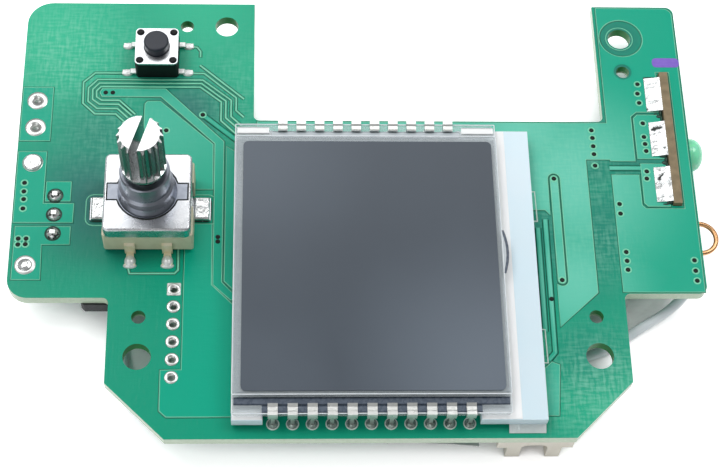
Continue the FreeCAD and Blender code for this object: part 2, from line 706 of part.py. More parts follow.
def backlight_sheet(body, thick, inset, right):
    """A sheet of the backlight, with a notch for each row of pins and a rounded rear left corner."""
    notch_front, notch_rear = guide_notch_floors()
    half_front = f"({lcd_pin_x(0, 'lcd_front_count')} - clip_wide/2 - notch_side_gap - {inset})"
    half_rear = f"({lcd_pin_x(0, 'lcd_rear_count')} - clip_wide/2 - notch_side_gap - {inset})"
    left = f"-glass_width/2 + {inset}"
    front = f"guide_front + {inset}"
    rear = f"guide_front + guide_depth - {inset}"
    outline = [
        (left, front),
        (half_front, front),
        (half_front, f"{notch_front} + {inset}"),
        (f"-{half_front}", f"{notch_front} + {inset}"),
        (f"-{half_front}", front),
        (right, front),
        (right, rear),
        (f"-{half_rear}", rear),
        (f"-{half_rear}", f"{notch_rear} - {inset}"),
        (half_rear, f"{notch_rear} - {inset}"),
        (half_rear, rear),
        (left, rear),
    ]
    pad(body, [outline], thick)
    soften(body, f"rear_round - {inset}", upright(outline[-1]))


def backlight():
    """Tape, reflector, light guide and diffuser under the glass, and two side lamps."""
    notch_front, notch_rear = guide_notch_floors()

    tape = piece("backlight_tape", many=True)
    deep = f"{notch_rear} - {notch_front} - 2*film_inset"
    middle = f"({notch_front} + {notch_rear})/2"
    strips = [block_loop("tape_wide", deep, f"{side}tape_spread", middle) for side in ("-", "")]
    pad(tape, strips, "tape_thick")

    reflector = piece("reflector_film", z=REFLECTOR_Z)
    backlight_sheet(reflector, "film_thick", "film_inset", f"{GUIDE_RIGHT} - film_inset")
    lip_edge = "guide_front"
    lip = [
        (f"{lip_edge} + 2*film_inset", "0"),
        (f"{lip_edge} - film_inset", "0"),
        (f"{lip_edge} - lip_out", "-tape_thick"),
        (f"{lip_edge} - lip_out", "film_thick - tape_thick"),
        (f"{lip_edge} - film_inset", "film_thick"),
        (f"{lip_edge} + 2*film_inset", "film_thick"),
    ]
    pad(reflector, [lip], "lip_wide", f"{GUIDE_RIGHT} - lip_wide - film_inset", role="YZ_Plane")

    guide = piece("light_guide", z=GUIDE_Z)
    backlight_sheet(guide, "guide_thick", "0", GUIDE_RIGHT)
    lamp_x = f"({GUIDE_RIGHT} - led_wide/2 - led_gap)"
    well = "(led_high + led_gap - tape_thick - film_thick)"
    well_wide = "led_wide + 4*led_gap"
    well_long = "led_long + 2*led_gap"
    lamp_rows = ("led_front_y", "led_front_y + led_step")
    wells = [block_loop(well_wide, well_long, lamp_x, y) for y in lamp_rows]
    pocket(guide, wells, well, upward=True)
    pocket(reflector, wells, "film_thick", upward=True)

    diffuser = piece("diffuser_film", z=DIFFUSER_Z)
    backlight_sheet(diffuser, "film_thick", "film_inset", "glass_width/2 + diffuser_overhang")

    lamps = piece("backlight_lamps", lamp_x, "led_front_y", many=True)
    case = pad(lamps, [block_loop("led_wide", "led_long")], "led_high")
    window = block_loop("led_wide*0.3", "led_long*0.7", "-led_wide/2")
    cup = pocket(lamps, [window], "led_high*0.6", "led_high*0.8")
    row(lamps, [case, cup], "Y_Axis", "led_step", "2")


def encoder_place(label, many=False):
    return piece(label, "-enc_left", "enc_y", many=many)


def encoder_case():
    """Moulded base, folded steel shell with soldered lugs, and die-cast bushing."""
    base = encoder_place("encoder_base")
    pad(base, [block_loop("enc_base_wide", "enc_base_deep")], "enc_base_top - enc_stand", "enc_stand")
    soften(base, "shell_sheet/2", upright(), "PartDesign::Chamfer")
    pocket(base, [("0", "0", "well_r")], "enc_base_top - well_floor", "enc_base_top")
    pocket(base, [("0", "0", "dome_well_r")], "well_floor - dome_well_floor", "well_floor")
    lug_gap = "(shell_wide/2 - shell_sheet - shell_gap)"
    for side in ("-", ""):
        middle = f"{side}({lug_gap} + enc_base_wide)"
        cut = block_loop("2*enc_base_wide", "lug_wide + 2*shell_gap", middle, "lug_back")
        pocket(base, [cut], "enc_base_top", "enc_base_top")

    shell = encoder_place("encoder_shell")
    pad(shell, [block_loop("shell_wide", "shell_deep")], "shell_top - enc_base_top", "enc_base_top")
    soften(shell, "shell_round", upright())
    soften(shell, "shell_sheet*0.8", level("shell_top"))
    inner = block_loop("shell_wide - 2*shell_sheet", "shell_deep - 2*shell_sheet")
    pocket(shell, [inner], "shell_top - shell_sheet - enc_base_top", "enc_base_top", upward=True)
    pocket(shell, [("0", "0", "flange_r + shell_gap")], "2*shell_sheet", "shell_top")
    wing_slot = block_loop("shell_wide - 2*shell_sheet", "wing_wide + 2*shell_gap")
    pocket(shell, [wing_slot], "2*shell_sheet", "shell_top")
    wall = "shell_wide/2 - shell_sheet"
    lug = [
        (wall, "enc_base_top + shell_sheet"),
        (wall, "0"),
        ("shell_wide/2 + lug_foot", "0"),
        ("shell_wide/2 + lug_foot", "shell_sheet"),
        ("shell_wide/2", "shell_sheet"),
        ("shell_wide/2", "enc_base_top + shell_sheet"),
    ]
    right = pad(shell, [lug], "lug_wide", "-lug_back - lug_wide/2", role="XZ_Plane")
    mirror(shell, [right], "YZ_Plane")

    solder = encoder_place("encoder_lug_solder", many=True)
    middle = "(shell_wide/2 + lug_foot/2)"
    wide = "lug_foot - 2*shell_gap"
    feet = [block_loop(wide, "lug_wide", f"{side}{middle}", "lug_back") for side in ("-", "")]
    pad(solder, feet, "lug_solder_high", "shell_sheet")
    soften(solder, "lug_solder_high*0.7", level("shell_sheet + lug_solder_high"))


def encoder_bushing():
    """Die-cast bushing: a plate under the shell, wings flush with it and a stepped neck."""
    body = encoder_place("encoder_bushing")
    fit = "2*(shell_sheet + shell_gap)"
    under_shell = "(shell_top - shell_sheet)"
    plate = block_loop(f"shell_wide - {fit}", f"shell_deep - {fit}")
    pad(body, [plate], f"{under_shell} - enc_base_top", "enc_base_top")
    pad(body, [("0", "0", "flange_r")], "shell_sheet", under_shell)
    pad(body, [block_loop(f"shell_wide - {fit}", "wing_wide")], "shell_sheet", under_shell)
    step = "(neck_low_r - neck_top_r)"
    neck = [
        ("0", under_shell),
        ("flange_r - shell_gap", under_shell),
        ("flange_r - shell_gap", "shell_top"),
        ("neck_low_r", "shell_top + skirt_high"),
        ("neck_low_r", f"neck_step - {step}"),
        ("neck_top_r", "neck_step"),
        ("neck_top_r", f"neck_top - {step}/2"),
        (f"neck_top_r - {step}/2", "neck_top"),
        ("0", "neck_top"),
    ]
    spin(body, [neck])
    pocket(body, [("0", "0", "well_r - shell_gap")], "recess_deep", "enc_base_top", upward=True)
    pocket(body, [("0", "0", "shaft_r + shaft_clear")], "neck_top", "neck_top")


def encoder_shaft():
    """Turned shaft: push nib, drive flats, retaining flange, journal, collar and slotted knurl."""
    body = encoder_place("encoder_shaft")
    tip = "(dome_well_floor + push_travel + shaft_clear)"
    drive_low = f"({tip} + nib_long)"
    collar_low = f"({KNURL_Z} - collar_long)"
    profile = [
        ("0", tip),
        ("drive_r*0.45", tip),
        ("drive_r*0.45", drive_low),
        ("drive_r", drive_low),
        ("drive_r", SHAFT_FLANGE_LOW),
        ("shaft_flange_r", SHAFT_FLANGE_LOW),
        ("shaft_flange_r", SHAFT_FLANGE_TOP),
        ("shaft_r", SHAFT_FLANGE_TOP),
        ("shaft_r", collar_low),
        ("knurl_r - edge_break", collar_low),
        ("knurl_r", f"{collar_low} + edge_break"),
        ("knurl_r", f"{KNURL_Z} - edge_break"),
        ("knurl_root_r", KNURL_Z),
        ("knurl_root_r", "shaft_top"),
        ("0", "shaft_top"),
    ]
    spin(body, [profile])
    for side in ("-", ""):
        flat = box_loop(f"{side}drive_flat", "-drive_r", f"{side}2*drive_r", "drive_r")
        pocket(body, [flat], f"{SHAFT_FLANGE_LOW} - {drive_low}", SHAFT_FLANGE_LOW)
    half_root = "(knurl_root_r*sin(150/knurl_teeth))"
    tooth = [
        ("knurl_root_r*0.9", f"-{half_root}"),
        ("knurl_r", f"-{half_root}*0.2"),
        ("knurl_r", f"{half_root}*0.2"),
        ("knurl_root_r*0.9", half_root),
    ]
    first = pad(body, [tooth], "knurl_long + edge_break", f"{KNURL_Z} - edge_break")
    wheel(body, [first], "knurl_teeth")
    rim = "(knurl_r + edge_break)"
    fall = f"(knurl_fall*({rim} - knurl_root_r)/(knurl_r - knurl_root_r))"
    turn_away(body, [[("knurl_root_r", "shaft_top"), (rim, "shaft_top"), (rim, f"shaft_top - {fall}")]])
    across = ("sin(slot_turn)", "cos(slot_turn)")
    corners = []
    for end, side in (("-", "-"), ("-", ""), ("", ""), ("", "-")):
        x = f"{end}knurl_r*2*{across[0]} + {side}slot_wide/2*{across[1]}"
        y = f"{end}knurl_r*2*{across[1]} - ({side}slot_wide/2*{across[0]})"
        corners.append((x, y))
    pocket(body, [corners], "knurl_long", "shaft_top")


def encoder_works():
    """The rotor with its wiper, and the contacts, detent spring and dome that it works against."""
    contacts = encoder_place("encoder_contacts")
    track = [("0", "0", "well_r - shell_gap"), ("0", "0", "dome_well_r + shell_gap")]
    pad(contacts, track, "2*strip_thick", "well_floor")

    rotor = encoder_place("encoder_rotor")
    pad(rotor, [("0", "0", "rotor_r")], "rotor_top - rotor_low", "rotor_low")
    recess_floor = f"({SHAFT_FLANGE_LOW} - push_travel - 2*shaft_clear)"
    flange_room = ("0", "0", "shaft_flange_r + 3*shaft_clear")
    pocket(rotor, [flange_room], f"rotor_top - {recess_floor}", "rotor_top")
    key = block_loop("2*(drive_flat + shaft_clear)", "2*(drive_r + shaft_clear)")
    pocket(rotor, [key], f"{recess_floor} - rotor_low", recess_floor)
    notch = block_loop("rotor_r*0.12", "rotor_r*0.1", "rotor_r")
    first = pocket(rotor, [notch], "strip_thick", "rotor_top")
    wheel(rotor, [first], "detents")

    wiper = encoder_place("encoder_wiper")
    wiper_z = "(rotor_low - strip_thick)"
    pad(wiper, [("0", "0", "rotor_r*0.92"), ("0", "0", "rotor_r*0.68")], "strip_thick", wiper_z)
    touch = "(well_floor + 2*strip_thick + shaft_clear)"
    finger = [
        ("rotor_r*0.7", wiper_z),
        ("rotor_r*0.74", touch),
        ("rotor_r*0.78", touch),
        ("rotor_r*0.82", wiper_z),
    ]
    brush = pad(wiper, [finger], "terminal_wide", role="XZ_Plane", middle=True)
    wheel(wiper, [brush], "3")

    spring = encoder_place("encoder_detent_spring")
    leaf = [("0", "0", "rotor_r*0.98"), ("0", "0", "rotor_r*0.75")]
    pad(spring, leaf, "strip_thick", f"{RECESS_TOP} - strip_thick")
    bump_low = "(rotor_top + shaft_clear)"
    bump = block_loop("rotor_r*0.1", "rotor_r*0.1", "rotor_r*0.9")
    first = pad(spring, [bump], f"{RECESS_TOP} - {bump_low}", bump_low)
    wheel(spring, [first], "2")

    dome = encoder_place("encoder_push_dome")
    dome_profile(dome, "dome_well_r - 2*shaft_clear", "push_travel", "dome_well_floor")


def dome_profile(body, radius, high, low):
    """A thin snap dome, turned from a bent strip."""
    thick = "strip_thick*0.6"
    spin(body, [[
        ("0", f"{low} + {high}"),
        (f"({radius})*0.55", f"{low} + ({high})*0.8"),
        (radius, f"{low} + {thick}"),
        (radius, low),
        (f"({radius})*0.9", low),
        (f"({radius})*0.5", f"{low} + ({high})*0.8 - {thick}"),
        ("0", f"{low} + {high} - {thick}"),
    ]])


def encoder_terminals():
    """Formed terminals: two of the push switch at the front and three of the coder behind."""
    body = encoder_place("encoder_terminals", many=True)
    for side, places in (("-", (-1, 1)), ("", (-1, 0, 1))):
        face = f"{side}enc_base_deep/2"
        out = f"{side}(enc_base_deep/2 + terminal_sheet)"
        end = f"{side}(enc_base_deep/2 + terminal_reach)"
        upper = [
            (face, "terminal_high"),
            (out, "terminal_high - terminal_sheet/2"),
            (out, "0"),
            (face, "0"),
        ]
        for place in places:
            x = f"{place}*terminal_pitch"
            pad(body, [upper], "terminal_wide", f"{x} - terminal_wide/2", role="YZ_Plane")
            foot = [
                (f"{x} - terminal_neck/2", out),
                (f"{x} + terminal_neck/2", out),
                (f"{x} + terminal_wide/2", end),
                (f"{x} - terminal_wide/2", end),
            ]
            pad(body, [foot], "terminal_sheet")


def push_button():
    """Square tactile switch: moulded base with rivet posts, steel cover, plunger, dome and legs."""
    place = ("-button_left", "board_depth - button_back")
    posts = [(f"{a}post_spread", f"{b}post_spread") for a in ("-", "") for b in ("-", "")]

    base = piece("button_base", *place)
    pad(base, [block_loop("button_wide", "button_wide")], "button_base_top")
    soften(base, "button_sheet", upright(), "PartDesign::Chamfer")
    cavity = ("0", "0", "button_cavity_r")
    pocket(base, [cavity], "button_base_top - button_cavity_floor", "button_base_top")
    pad(base, [(x, y, "post_r") for x, y in posts], "button_sheet + post_rise", "button_base_top")
    soften(base, "post_rise*0.8", level("button_base_top + button_sheet + post_rise"), "PartDesign::Chamfer")

    cover = piece("button_cover", *place)
    pad(cover, [block_loop("button_wide", "button_wide")], "button_sheet", "button_base_top")
    soften(cover, "2*button_sheet", upright())
    holes = [("0", "0", "plunger_r + plunger_clear")]
    holes += [(x, y, "post_r + shaft_clear") for x, y in posts]
    pocket(cover, holes, "button_sheet", "button_base_top + button_sheet")

    plunger = piece("button_plunger", *place)
    flange_top = "(button_base_top - shaft_clear)"
    nib_low = "(button_cavity_floor + push_travel + 2*shaft_clear)"
    flange_low = f"({nib_low} + nib_long)"
    stem = [
        ("0", nib_low),
        ("plunger_r*0.5", nib_low),
        ("plunger_r*0.5", flange_low),
        ("plunger_flange_r", flange_low),
        ("plunger_flange_r", flange_top),
        ("plunger_r", flange_top),
        ("plunger_r", "plunger_top"),
        ("0", "plunger_top"),
    ]
    spin(plunger, [stem])
    soften(plunger, "button_sheet", level("plunger_top"))

    dome = piece("button_dome", *place)
    dome_profile(dome, "button_cavity_r - 2*shaft_clear", "push_travel", "button_cavity_floor")

    legs = piece("button_legs", *place, many=True)
    leg_place = "button_leg_spread - button_leg_wide/2"
    face = "button_wide/2"
    leg = [
        (face, "button_sheet"),
        (f"{face} + button_leg_reach*0.3", "button_sheet"),
        (f"{face} + button_leg_reach*0.4", "0"),
        (f"{face} + button_leg_reach", "0"),
        (f"{face} + button_leg_reach", "button_sheet"),
        (f"{face} + button_leg_reach*0.5", "button_sheet"),
        (f"{face} + button_leg_reach*0.4", "2*button_sheet"),
        (face, "2*button_sheet"),
    ]
    for side in ("-", ""):
        turned = [(f"{side}({x})", z) for x, z in leg]
        front = pad(legs, [turned], "button_leg_wide", leg_place, role="XZ_Plane")
        row(legs, [front], "Y_Axis", "2*button_leg_spread", "2")


def side_board():
    """The small board that stands in a slot, its solder joints and the lamp on its outer face."""
    board = piece("side_board", SIDE_X, "side_front")
    high = "side_rise + board_thick + under_room"
    pad(board, [block_loop("side_thick", "side_long", y="side_long/2")], high, FLOOR)
    leads = [(f"lamp_y - side_front {sign} lead_pitch/2", LAMP_Z, "lead_wide*0.8") for sign in "-+"]
    pocket(board, leads, "2*side_thick", role="YZ_Plane", middle=True)

    solder = piece("side_board_solder", f"{SIDE_X} - side_thick/2", "side_front + joint_margin", many=True)
    fillet = [
        ("0", "0"),
        ("0", "side_rise*0.9"),
        ("-joint_wide*0.2", "side_rise*0.75"),
        ("-joint_wide*0.55", "side_rise*0.45"),
        ("-joint_wide*0.95", "side_rise*0.2"),
        ("-joint_wide", "0"),
    ]
    joint = pad(solder, [fillet], "joint_long", "-joint_long", role="XZ_Plane")
    row(solder, [joint], "Y_Axis", "joint_step", "3")

    lamp = piece("indicator_lamp", SIDE_OUTER, "lamp_y", LAMP_Z)
    pad(lamp, [("0", "0", "lamp_flange_r")], "lamp_flange", role="YZ_Plane")
    pad(lamp, [("0", "0", "lamp_r")], "lamp_long", role="YZ_Plane")
    tip = size("lamp_long")
    soften(lamp, "lamp_dome", lambda edge: abs(edge.BoundBox.XMin - tip) < SAME)

    wires = piece("indicator_lamp_leads", SIDE_OUTER, "lamp_y - lead_pitch/2", LAMP_Z, many=True)
    long = "side_thick + lead_tail"
    lead = pad(wires, [block_loop("lead_wide", "lead_wide")], long, f"-({long})", role="YZ_Plane")
    row(wires, [lead], "Y_Axis", "lead_pitch", "2")


def shunt_loop():
    """A heavy wire bent to a half ring past the right edge, with two legs under the board."""
    bend_x = "(board_right + loop_reach - loop_r - loop_wire_r)"
    body = piece("shunt_loop", bend_x, "loop_y", f"{UNDERSIDE} - loop_wire_r", turned=-90)
    spin(body, [("loop_r", "0", "loop_wire_r")], 180)
    ends = [(f"{side}loop_r", "0", "loop_wire_r") for side in ("-", "")]
    pad(body, ends, "loop_leg", role="XZ_Plane")


def connector():
    """Side entry connector: eared housing with an arched mouth, and two formed contacts."""
    housing = piece("connector_housing", "socket_x", "0", UNDERSIDE)
    half = "socket_wide/2"
    ear = "(socket_wide/2 + socket_ear)"
    front = [
        (f"-{ear}", "0"),
        (f"-{ear}", "-socket_ear_high"),
        (f"-{half}", "-socket_ear_high"),
        (f"-{half}", "-under_room"),
        (half, "-under_room"),
        (half, "-socket_ear_high"),
        (ear, "-socket_ear_high"),
        (ear, "0"),
    ]
    pad(housing, [front], "socket_deep", "-socket_deep", role="XZ_Plane")
    mouth = box_loop("-mouth_wide/2", "-under_room", "mouth_wide/2", "-mouth_roof")
    pocket(housing, [mouth], "socket_deep - socket_back", role="XZ_Plane")
    roof = level("-mouth_roof")
    soften(housing, "mouth_round", lambda edge: roof(edge) and edge.BoundBox.XLength < SAME)
    height = "-under_room*0.5"
    holes = [block_loop("lead_wide", "lead_wide", f"{sign}contact_pitch/2", height) for sign in ("-", "")]
    pocket(housing, holes, "socket_deep*2", role="XZ_Plane", middle=True)

    pins = piece("connector_contacts", "socket_x - contact_pitch/2", "0", UNDERSIDE, many=True)
    low = f"{height} - lead_wide/2"
    high = f"{height} + lead_wide/2"
    back = "socket_deep + lead_wide"
    pin = [
        ("socket_deep*0.2", low),
        (f"{back} + lead_wide", low),
        (f"{back} + lead_wide", "-lead_wide"),
        (f"{back} + 4*lead_wide", "-lead_wide"),
        (f"{back} + 4*lead_wide", "0"),
        (back, "0"),
        (back, high),
        ("socket_deep*0.2", high),
    ]
    first = pad(pins, [pin], "lead_wide", role="YZ_Plane", middle=True)
    row(pins, [first], "X_Axis", "contact_pitch", "2")


def power_transistor():
    """Three-lead transistor on its back under the encoder, its leads turned up through the board."""
    start = "power_stand"
    tab = piece("power_transistor_tab", POWER_X, "power_y", FLOOR)
    pad(tab, [block_loop("power_long", "power_wide", f"{start} + power_long/2")], "power_tab")
    end = f"({start} + power_long)"
    corner = upright((end, "-power_wide/2"), (end, "power_wide/2"))
    soften(tab, "power_tab", corner, "PartDesign::Chamfer")
    hole = f"{end} - (power_long - power_body_long)/2"
    pocket(tab, [(hole, "0", "power_tab_hole_r")], "power_tab", "power_tab")

    body = piece("power_transistor_body", POWER_X, "power_y", FLOOR)
    far = f"({start} + power_body_long)"
    side_view = [
        (start, "power_tab"),
        (far, "power_tab"),
        (f"{far} - power_tab*0.4", "power_thick"),
        (f"{start} + power_tab*0.4", "power_thick"),
    ]
    pad(body, [side_view], "power_wide", role="XZ_Plane", middle=True)

    leads = piece("power_transistor_leads", POWER_X, "power_y - power_pitch", FLOOR, many=True)
    half = "power_lead_wide/2"
    top = "under_room + board_thick + power_lead_rise"
    bent = [
        (start, f"power_lead_high - {half}"),
        (f"-{half}", f"power_lead_high - {half}"),
        (f"-{half}", top),
        (half, top),
        (half, f"power_lead_high + {half}"),
        (start, f"power_lead_high + {half}"),
    ]
    first = pad(leads, [bent], "power_lead_wide*0.8", role="XZ_Plane", middle=True)
    row(leads, [first], "Y_Axis", "power_pitch", "3")

    solder = piece("power_transistor_solder", POWER_X, "power_y - power_pitch", many=True)
    dome = [
        ("0", "0"),
        ("power_joint_r", "0"),
        ("power_joint_r*0.8", "power_lead_rise*0.5"),
        (half, "power_lead_rise*0.9"),
        ("0", "power_lead_rise*0.9"),
    ]
    cone = spin(solder, [dome])
    lead = block_loop("power_lead_wide", "power_lead_wide*0.8")
    hole = pocket(solder, [lead], "power_lead_rise", "power_lead_rise")
    row(solder, [cone, hole], "Y_Axis", "power_pitch", "3")


def controller():
    """Flat controller with formed leads on four sides, on the underside."""
    body = piece("controller", "chip_x", "chip_y", UNDERSIDE)
    pad(body, [block_loop("chip_wide", "chip_wide")], "chip_thick", "-chip_stand - chip_thick")
    soften(body, "chip_stand*2", level("-chip_stand - chip_thick"), "PartDesign::Chamfer")

    leads = piece("controller_leads", "chip_x", "chip_y", UNDERSIDE, many=True)
    middle = "-chip_stand - chip_thick/2"
    sheet = "chip_stand*1.5"
    lead = [
        ("chip_wide/2", f"{middle}"),
        ("chip_wide/2 + chip_lead_reach*0.5", f"-{sheet}"),
        ("chip_wide/2 + chip_lead_reach", f"-{sheet}"),
        ("chip_wide/2 + chip_lead_reach", "0"),
        ("chip_wide/2 + chip_lead_reach*0.4", "0"),
        ("chip_wide/2", f"{middle} + {sheet}"),
    ]
    span = "(chip_lead_count - 1)/2*chip_lead_pitch"
    for role, lift, axis in (
        ("XZ_Plane", f"{span} - chip_lead_wide/2", "Y_Axis"),
        ("YZ_Plane", f"-{span} - chip_lead_wide/2", "X_Axis"),
    ):
        for side in ("-", ""):
            turned = [(f"{side}({x})", z) for x, z in lead]
            first = pad(leads, [turned], "chip_lead_wide", lift, role=role)
            row(leads, [first], axis, "chip_lead_pitch", "chip_lead_count")


def underside_parts():
    """Crystal, inductor, rows of small chips and the insulating strip."""
    crystal = piece("crystal", "crystal_x", "crystal_y", UNDERSIDE)
    flange = "chip_stand*4"
    rim = block_loop("crystal_long + chip_stand*8", "crystal_wide + chip_stand*8")
    pad(crystal, [rim], flange, f"-{flange}")
    pad(crystal, [block_loop("crystal_long", "crystal_wide")], "crystal_high", "-crystal_high")
    can_corners = [(f"{a}crystal_long/2", f"{b}crystal_wide/2") for a in ("-", "") for b in ("-", "")]
    soften(crystal, "crystal_wide*0.45", upright(*can_corners))
    soften(crystal, "chip_stand*3", level("-crystal_high"), "PartDesign::Chamfer")

    coil_y = "left_lobe_floor - coil_out + coil_wide/2"
    coil = piece("power_inductor", "coil_x", coil_y, UNDERSIDE)
    pad(coil, [block_loop("coil_wide", "coil_wide")], "coil_high", "-coil_high")
    soften(coil, "coil_wide*0.12", upright(), "PartDesign::Chamfer")
    groove = [("0", "0", "coil_wide*0.36"), ("0", "0", "coil_wide*0.28")]
    pocket(coil, groove, "coil_high*0.2", "-coil_high", upward=True)

    for label, y, high in (
        ("chip_resistors", "resistor_y", "resistor_high"),
        ("chip_capacitors", "capacitor_y", "capacitor_high"),
    ):
        chips = piece(label, "chip_x - (small_count - 1)/2*small_pitch", y, UNDERSIDE, many=True)
        first = pad(chips, [block_loop("small_wide", "small_long")], high, f"-{high}")
        row(chips, [first], "X_Axis", "small_pitch", "small_count")

    paper = piece("insulating_strip", "paper_x", "0", UNDERSIDE)
    far = "(paper_flat + paper_free)"
    mid = "(paper_flat + paper_free*0.5)"
    strip = [
        ("0", "0"),
        ("0", "-paper_thick"),
        ("paper_flat", "-paper_thick"),
        (mid, "-paper_thick - paper_droop*0.3"),
        (far, "-paper_thick - paper_droop"),
        (far, "-paper_droop"),
        (mid, "-paper_droop*0.3"),
        ("paper_flat", "0"),
    ]
    deep = "(glass_front - clip_gap - clip_sheet - paper_gap)"
    pad(paper, [strip], deep, f"-{deep}", role="XZ_Plane")


def rounded_route(points):
    """Straight runs joined by tangent arcs, each as large as its two runs allow."""
    corners = [FreeCAD.Vector(*point) for point in points]
    edges = []
    radii = []
    start = corners[0]
    for before, corner, after in zip(corners, corners[1:], corners[2:]):
        inward = (before - corner).normalize()
        outward = (after - corner).normalize()
        turn = math.pi - inward.getAngle(outward)
        cut = ARC_SHARE * min((before - corner).Length, (after - corner).Length)
        radius = cut / math.tan(turn / 2)
        radii.append(radius)
        first = corner + inward * cut
        last = corner + outward * cut
        centre_way = (inward + outward).normalize()
        middle = corner + centre_way * (radius / math.cos(turn / 2) - radius)
        edges.append(Part.LineSegment(start, first).toShape())
        edges.append(Part.Arc(first, middle, last).toShape())
        start = last
    edges.append(Part.LineSegment(start, corners[-1]).toShape())
    return Part.Wire(edges), radii


def link_wire():
    """The insulated wire that lies under the board, with a stripped and tinned end at each pad."""
    route, radii = rounded_route(WIRE_ROUTE)
    radius = size("wire_r")
    begin = FreeCAD.Vector(*WIRE_ROUTE[0])
    ahead = FreeCAD.Vector(*WIRE_ROUTE[1]) - begin
    section = Part.Wire(Part.Circle(begin, ahead, radius).toShape())
    tube = route.makePipeShell([section], True, False)
    expected = math.pi * radius ** 2 * route.Length
    if abs(tube.Volume / expected - 1) > 0.01:
        raise RuntimeError("the link wire's volume doesn't match its length")
    print("link wire length", round(route.Length, 1), "radii", [round(value, 1) for value in radii])
    feature("link_wire", tube)

    strand = size("strand_r")
    pad_x, pad_y = size(WIRE_PAD_X), size("link_pad_y")
    top = FreeCAD.Vector(pad_x, pad_y, size("strand_rise"))
    knee = FreeCAD.Vector(pad_x, pad_y, -size("strand_drop"))
    bend = Part.makeSphere(strand, knee)
    left = rod(top, knee, strand).fuse([bend, rod(knee, begin, strand)]).removeSplitter()
    end = FreeCAD.Vector(*WIRE_ROUTE[-1])
    onward = (end - FreeCAD.Vector(*WIRE_ROUTE[-2])).normalize()
    rise = (-size("board_thick") - strand - end.z) / onward.z
    right = rod(end, end + onward * rise, strand)
    feature("link_wire_ends", Part.makeCompound([left, right]))


def rod(start, end, radius):
    return Part.makeCylinder(radius, (end - start).Length, start, end - start)


def feature(label, shape):
    """A piece that is swept or joined from round stock."""
    item = DOCUMENT.addObject("Part::Feature", label)
    item.Label = label
    item.Shape = shape
    stand(item, "0", "0", "0")
    PIECES.append(item)


def wire_solder():
    """Solder domes on two wire holes: one filled, one round the link wire's end."""
    body = piece("wire_pad_solder", WIRE_PAD_X, "link_pad_y", many=True)
    collar = [
        ("strand_r + joint_clear", "0"),
        ("solder_r*0.8", "0"),
        ("solder_r*0.6", "solder_high*0.5"),
        ("strand_r + joint_clear", "solder_high*0.8"),
    ]
    spin(body, [collar])
    pad(body, [("0", "supply_pad_y - link_pad_y", "solder_r")], "solder_high")
    soften(body, "solder_high*0.8", level("solder_high"))


def export():
    """Check every object, then write each piece to its own file."""
    DOCUMENT.recompute()
    for item in DOCUMENT.Objects:
        if "Invalid" in item.State or "Error" in item.State:
            raise RuntimeError(f"{item.Label} failed: {item.State}")
    for item in PIECES:
        if item.Shape.isNull() or not item.Shape.isValid() or not item.Shape.Solids:
            raise RuntimeError(f"{item.Label} has no valid shape")
    os.makedirs("parts", exist_ok=True)
    for item in PIECES:
        item.Shape.exportStep(os.path.join("parts", f"{item.Label}.step"))
    print("pieces", len(PIECES), "solids", sum(len(item.Shape.Solids) for item in PIECES))


fill_sheet()
main_board()
display_plates()
display_end_seal()
display_pins()
backlight()
encoder_case()
encoder_bushing()
encoder_shaft()
encoder_works()
encoder_terminals()
push_button()
side_board()
shunt_loop()
connector()
power_transistor()
controller()
underside_parts()
link_wire()
wire_solder()
export()
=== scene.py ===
"""Looks of a component tester's display and control board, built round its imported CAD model.

The copper, lands, solder, prints, display trim, snap domes and the link wire are modelled here, and every
CAD node gets its finish. Places are in millimetres on the board: x from the display's middle line, y from
the front edge and z from the board's top face.
"""

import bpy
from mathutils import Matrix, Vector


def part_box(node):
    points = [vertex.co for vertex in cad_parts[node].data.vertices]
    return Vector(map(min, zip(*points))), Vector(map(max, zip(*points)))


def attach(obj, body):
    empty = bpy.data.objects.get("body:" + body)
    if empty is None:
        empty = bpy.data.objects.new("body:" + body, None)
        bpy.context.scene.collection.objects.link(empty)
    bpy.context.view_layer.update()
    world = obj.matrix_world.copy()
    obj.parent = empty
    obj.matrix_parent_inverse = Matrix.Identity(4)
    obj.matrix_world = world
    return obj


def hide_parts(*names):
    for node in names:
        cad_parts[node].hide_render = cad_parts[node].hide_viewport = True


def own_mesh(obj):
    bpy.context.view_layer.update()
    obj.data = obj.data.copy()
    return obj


bl_info = {
    "name": "Component tester board",
    "version": (1, 0, 0),
    "blender": (4, 5, 0),
    "location": "View3D > Sidebar > Tester",
    "description": "Dresses the packed board with copper, solder, print and finishes",
    "category": "Object",
}

import functools
import math

import bmesh
import bpy
from mathutils import Matrix, Vector

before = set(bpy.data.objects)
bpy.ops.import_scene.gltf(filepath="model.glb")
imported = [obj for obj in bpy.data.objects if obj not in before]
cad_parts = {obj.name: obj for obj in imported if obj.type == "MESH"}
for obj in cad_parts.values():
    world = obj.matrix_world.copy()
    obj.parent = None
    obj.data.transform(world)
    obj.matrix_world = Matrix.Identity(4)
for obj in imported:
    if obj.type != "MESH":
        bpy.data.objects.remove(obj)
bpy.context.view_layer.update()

BOARD = "board_assembly"
MM = 0.001
BOARD_LEFT = 48.1
BOARD_THICK = 1.6
BOARD_LOW, BOARD_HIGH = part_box("main_board")
ORIGIN = Vector((BOARD_LOW.x + BOARD_LEFT * MM, BOARD_LOW.y, BOARD_HIGH.z))


def linear(code):
    """Turn an sRGB hex colour to Blender's linear one."""
    shares = [int(code[i : i + 2], 16) / 255 for i in (1, 3, 5)]
    return (*[v / 12.92 if v <= 0.04045 else ((v + 0.055) / 1.055) ** 2.4 for v in shares], 1.0)


def length(name, description, size):
    """A length that a user may change, given in millimetres."""
    return bpy.props.FloatProperty(
        name=name, description=description, default=size * MM, min=0, unit="LENGTH", precision=5
    )


def colour(name, description, code):
    """A colour that a user may change."""
    return bpy.props.FloatVectorProperty(
        name=name, description=description, default=linear(code), size=4, min=0, max=1, subtype="COLOR"
    )


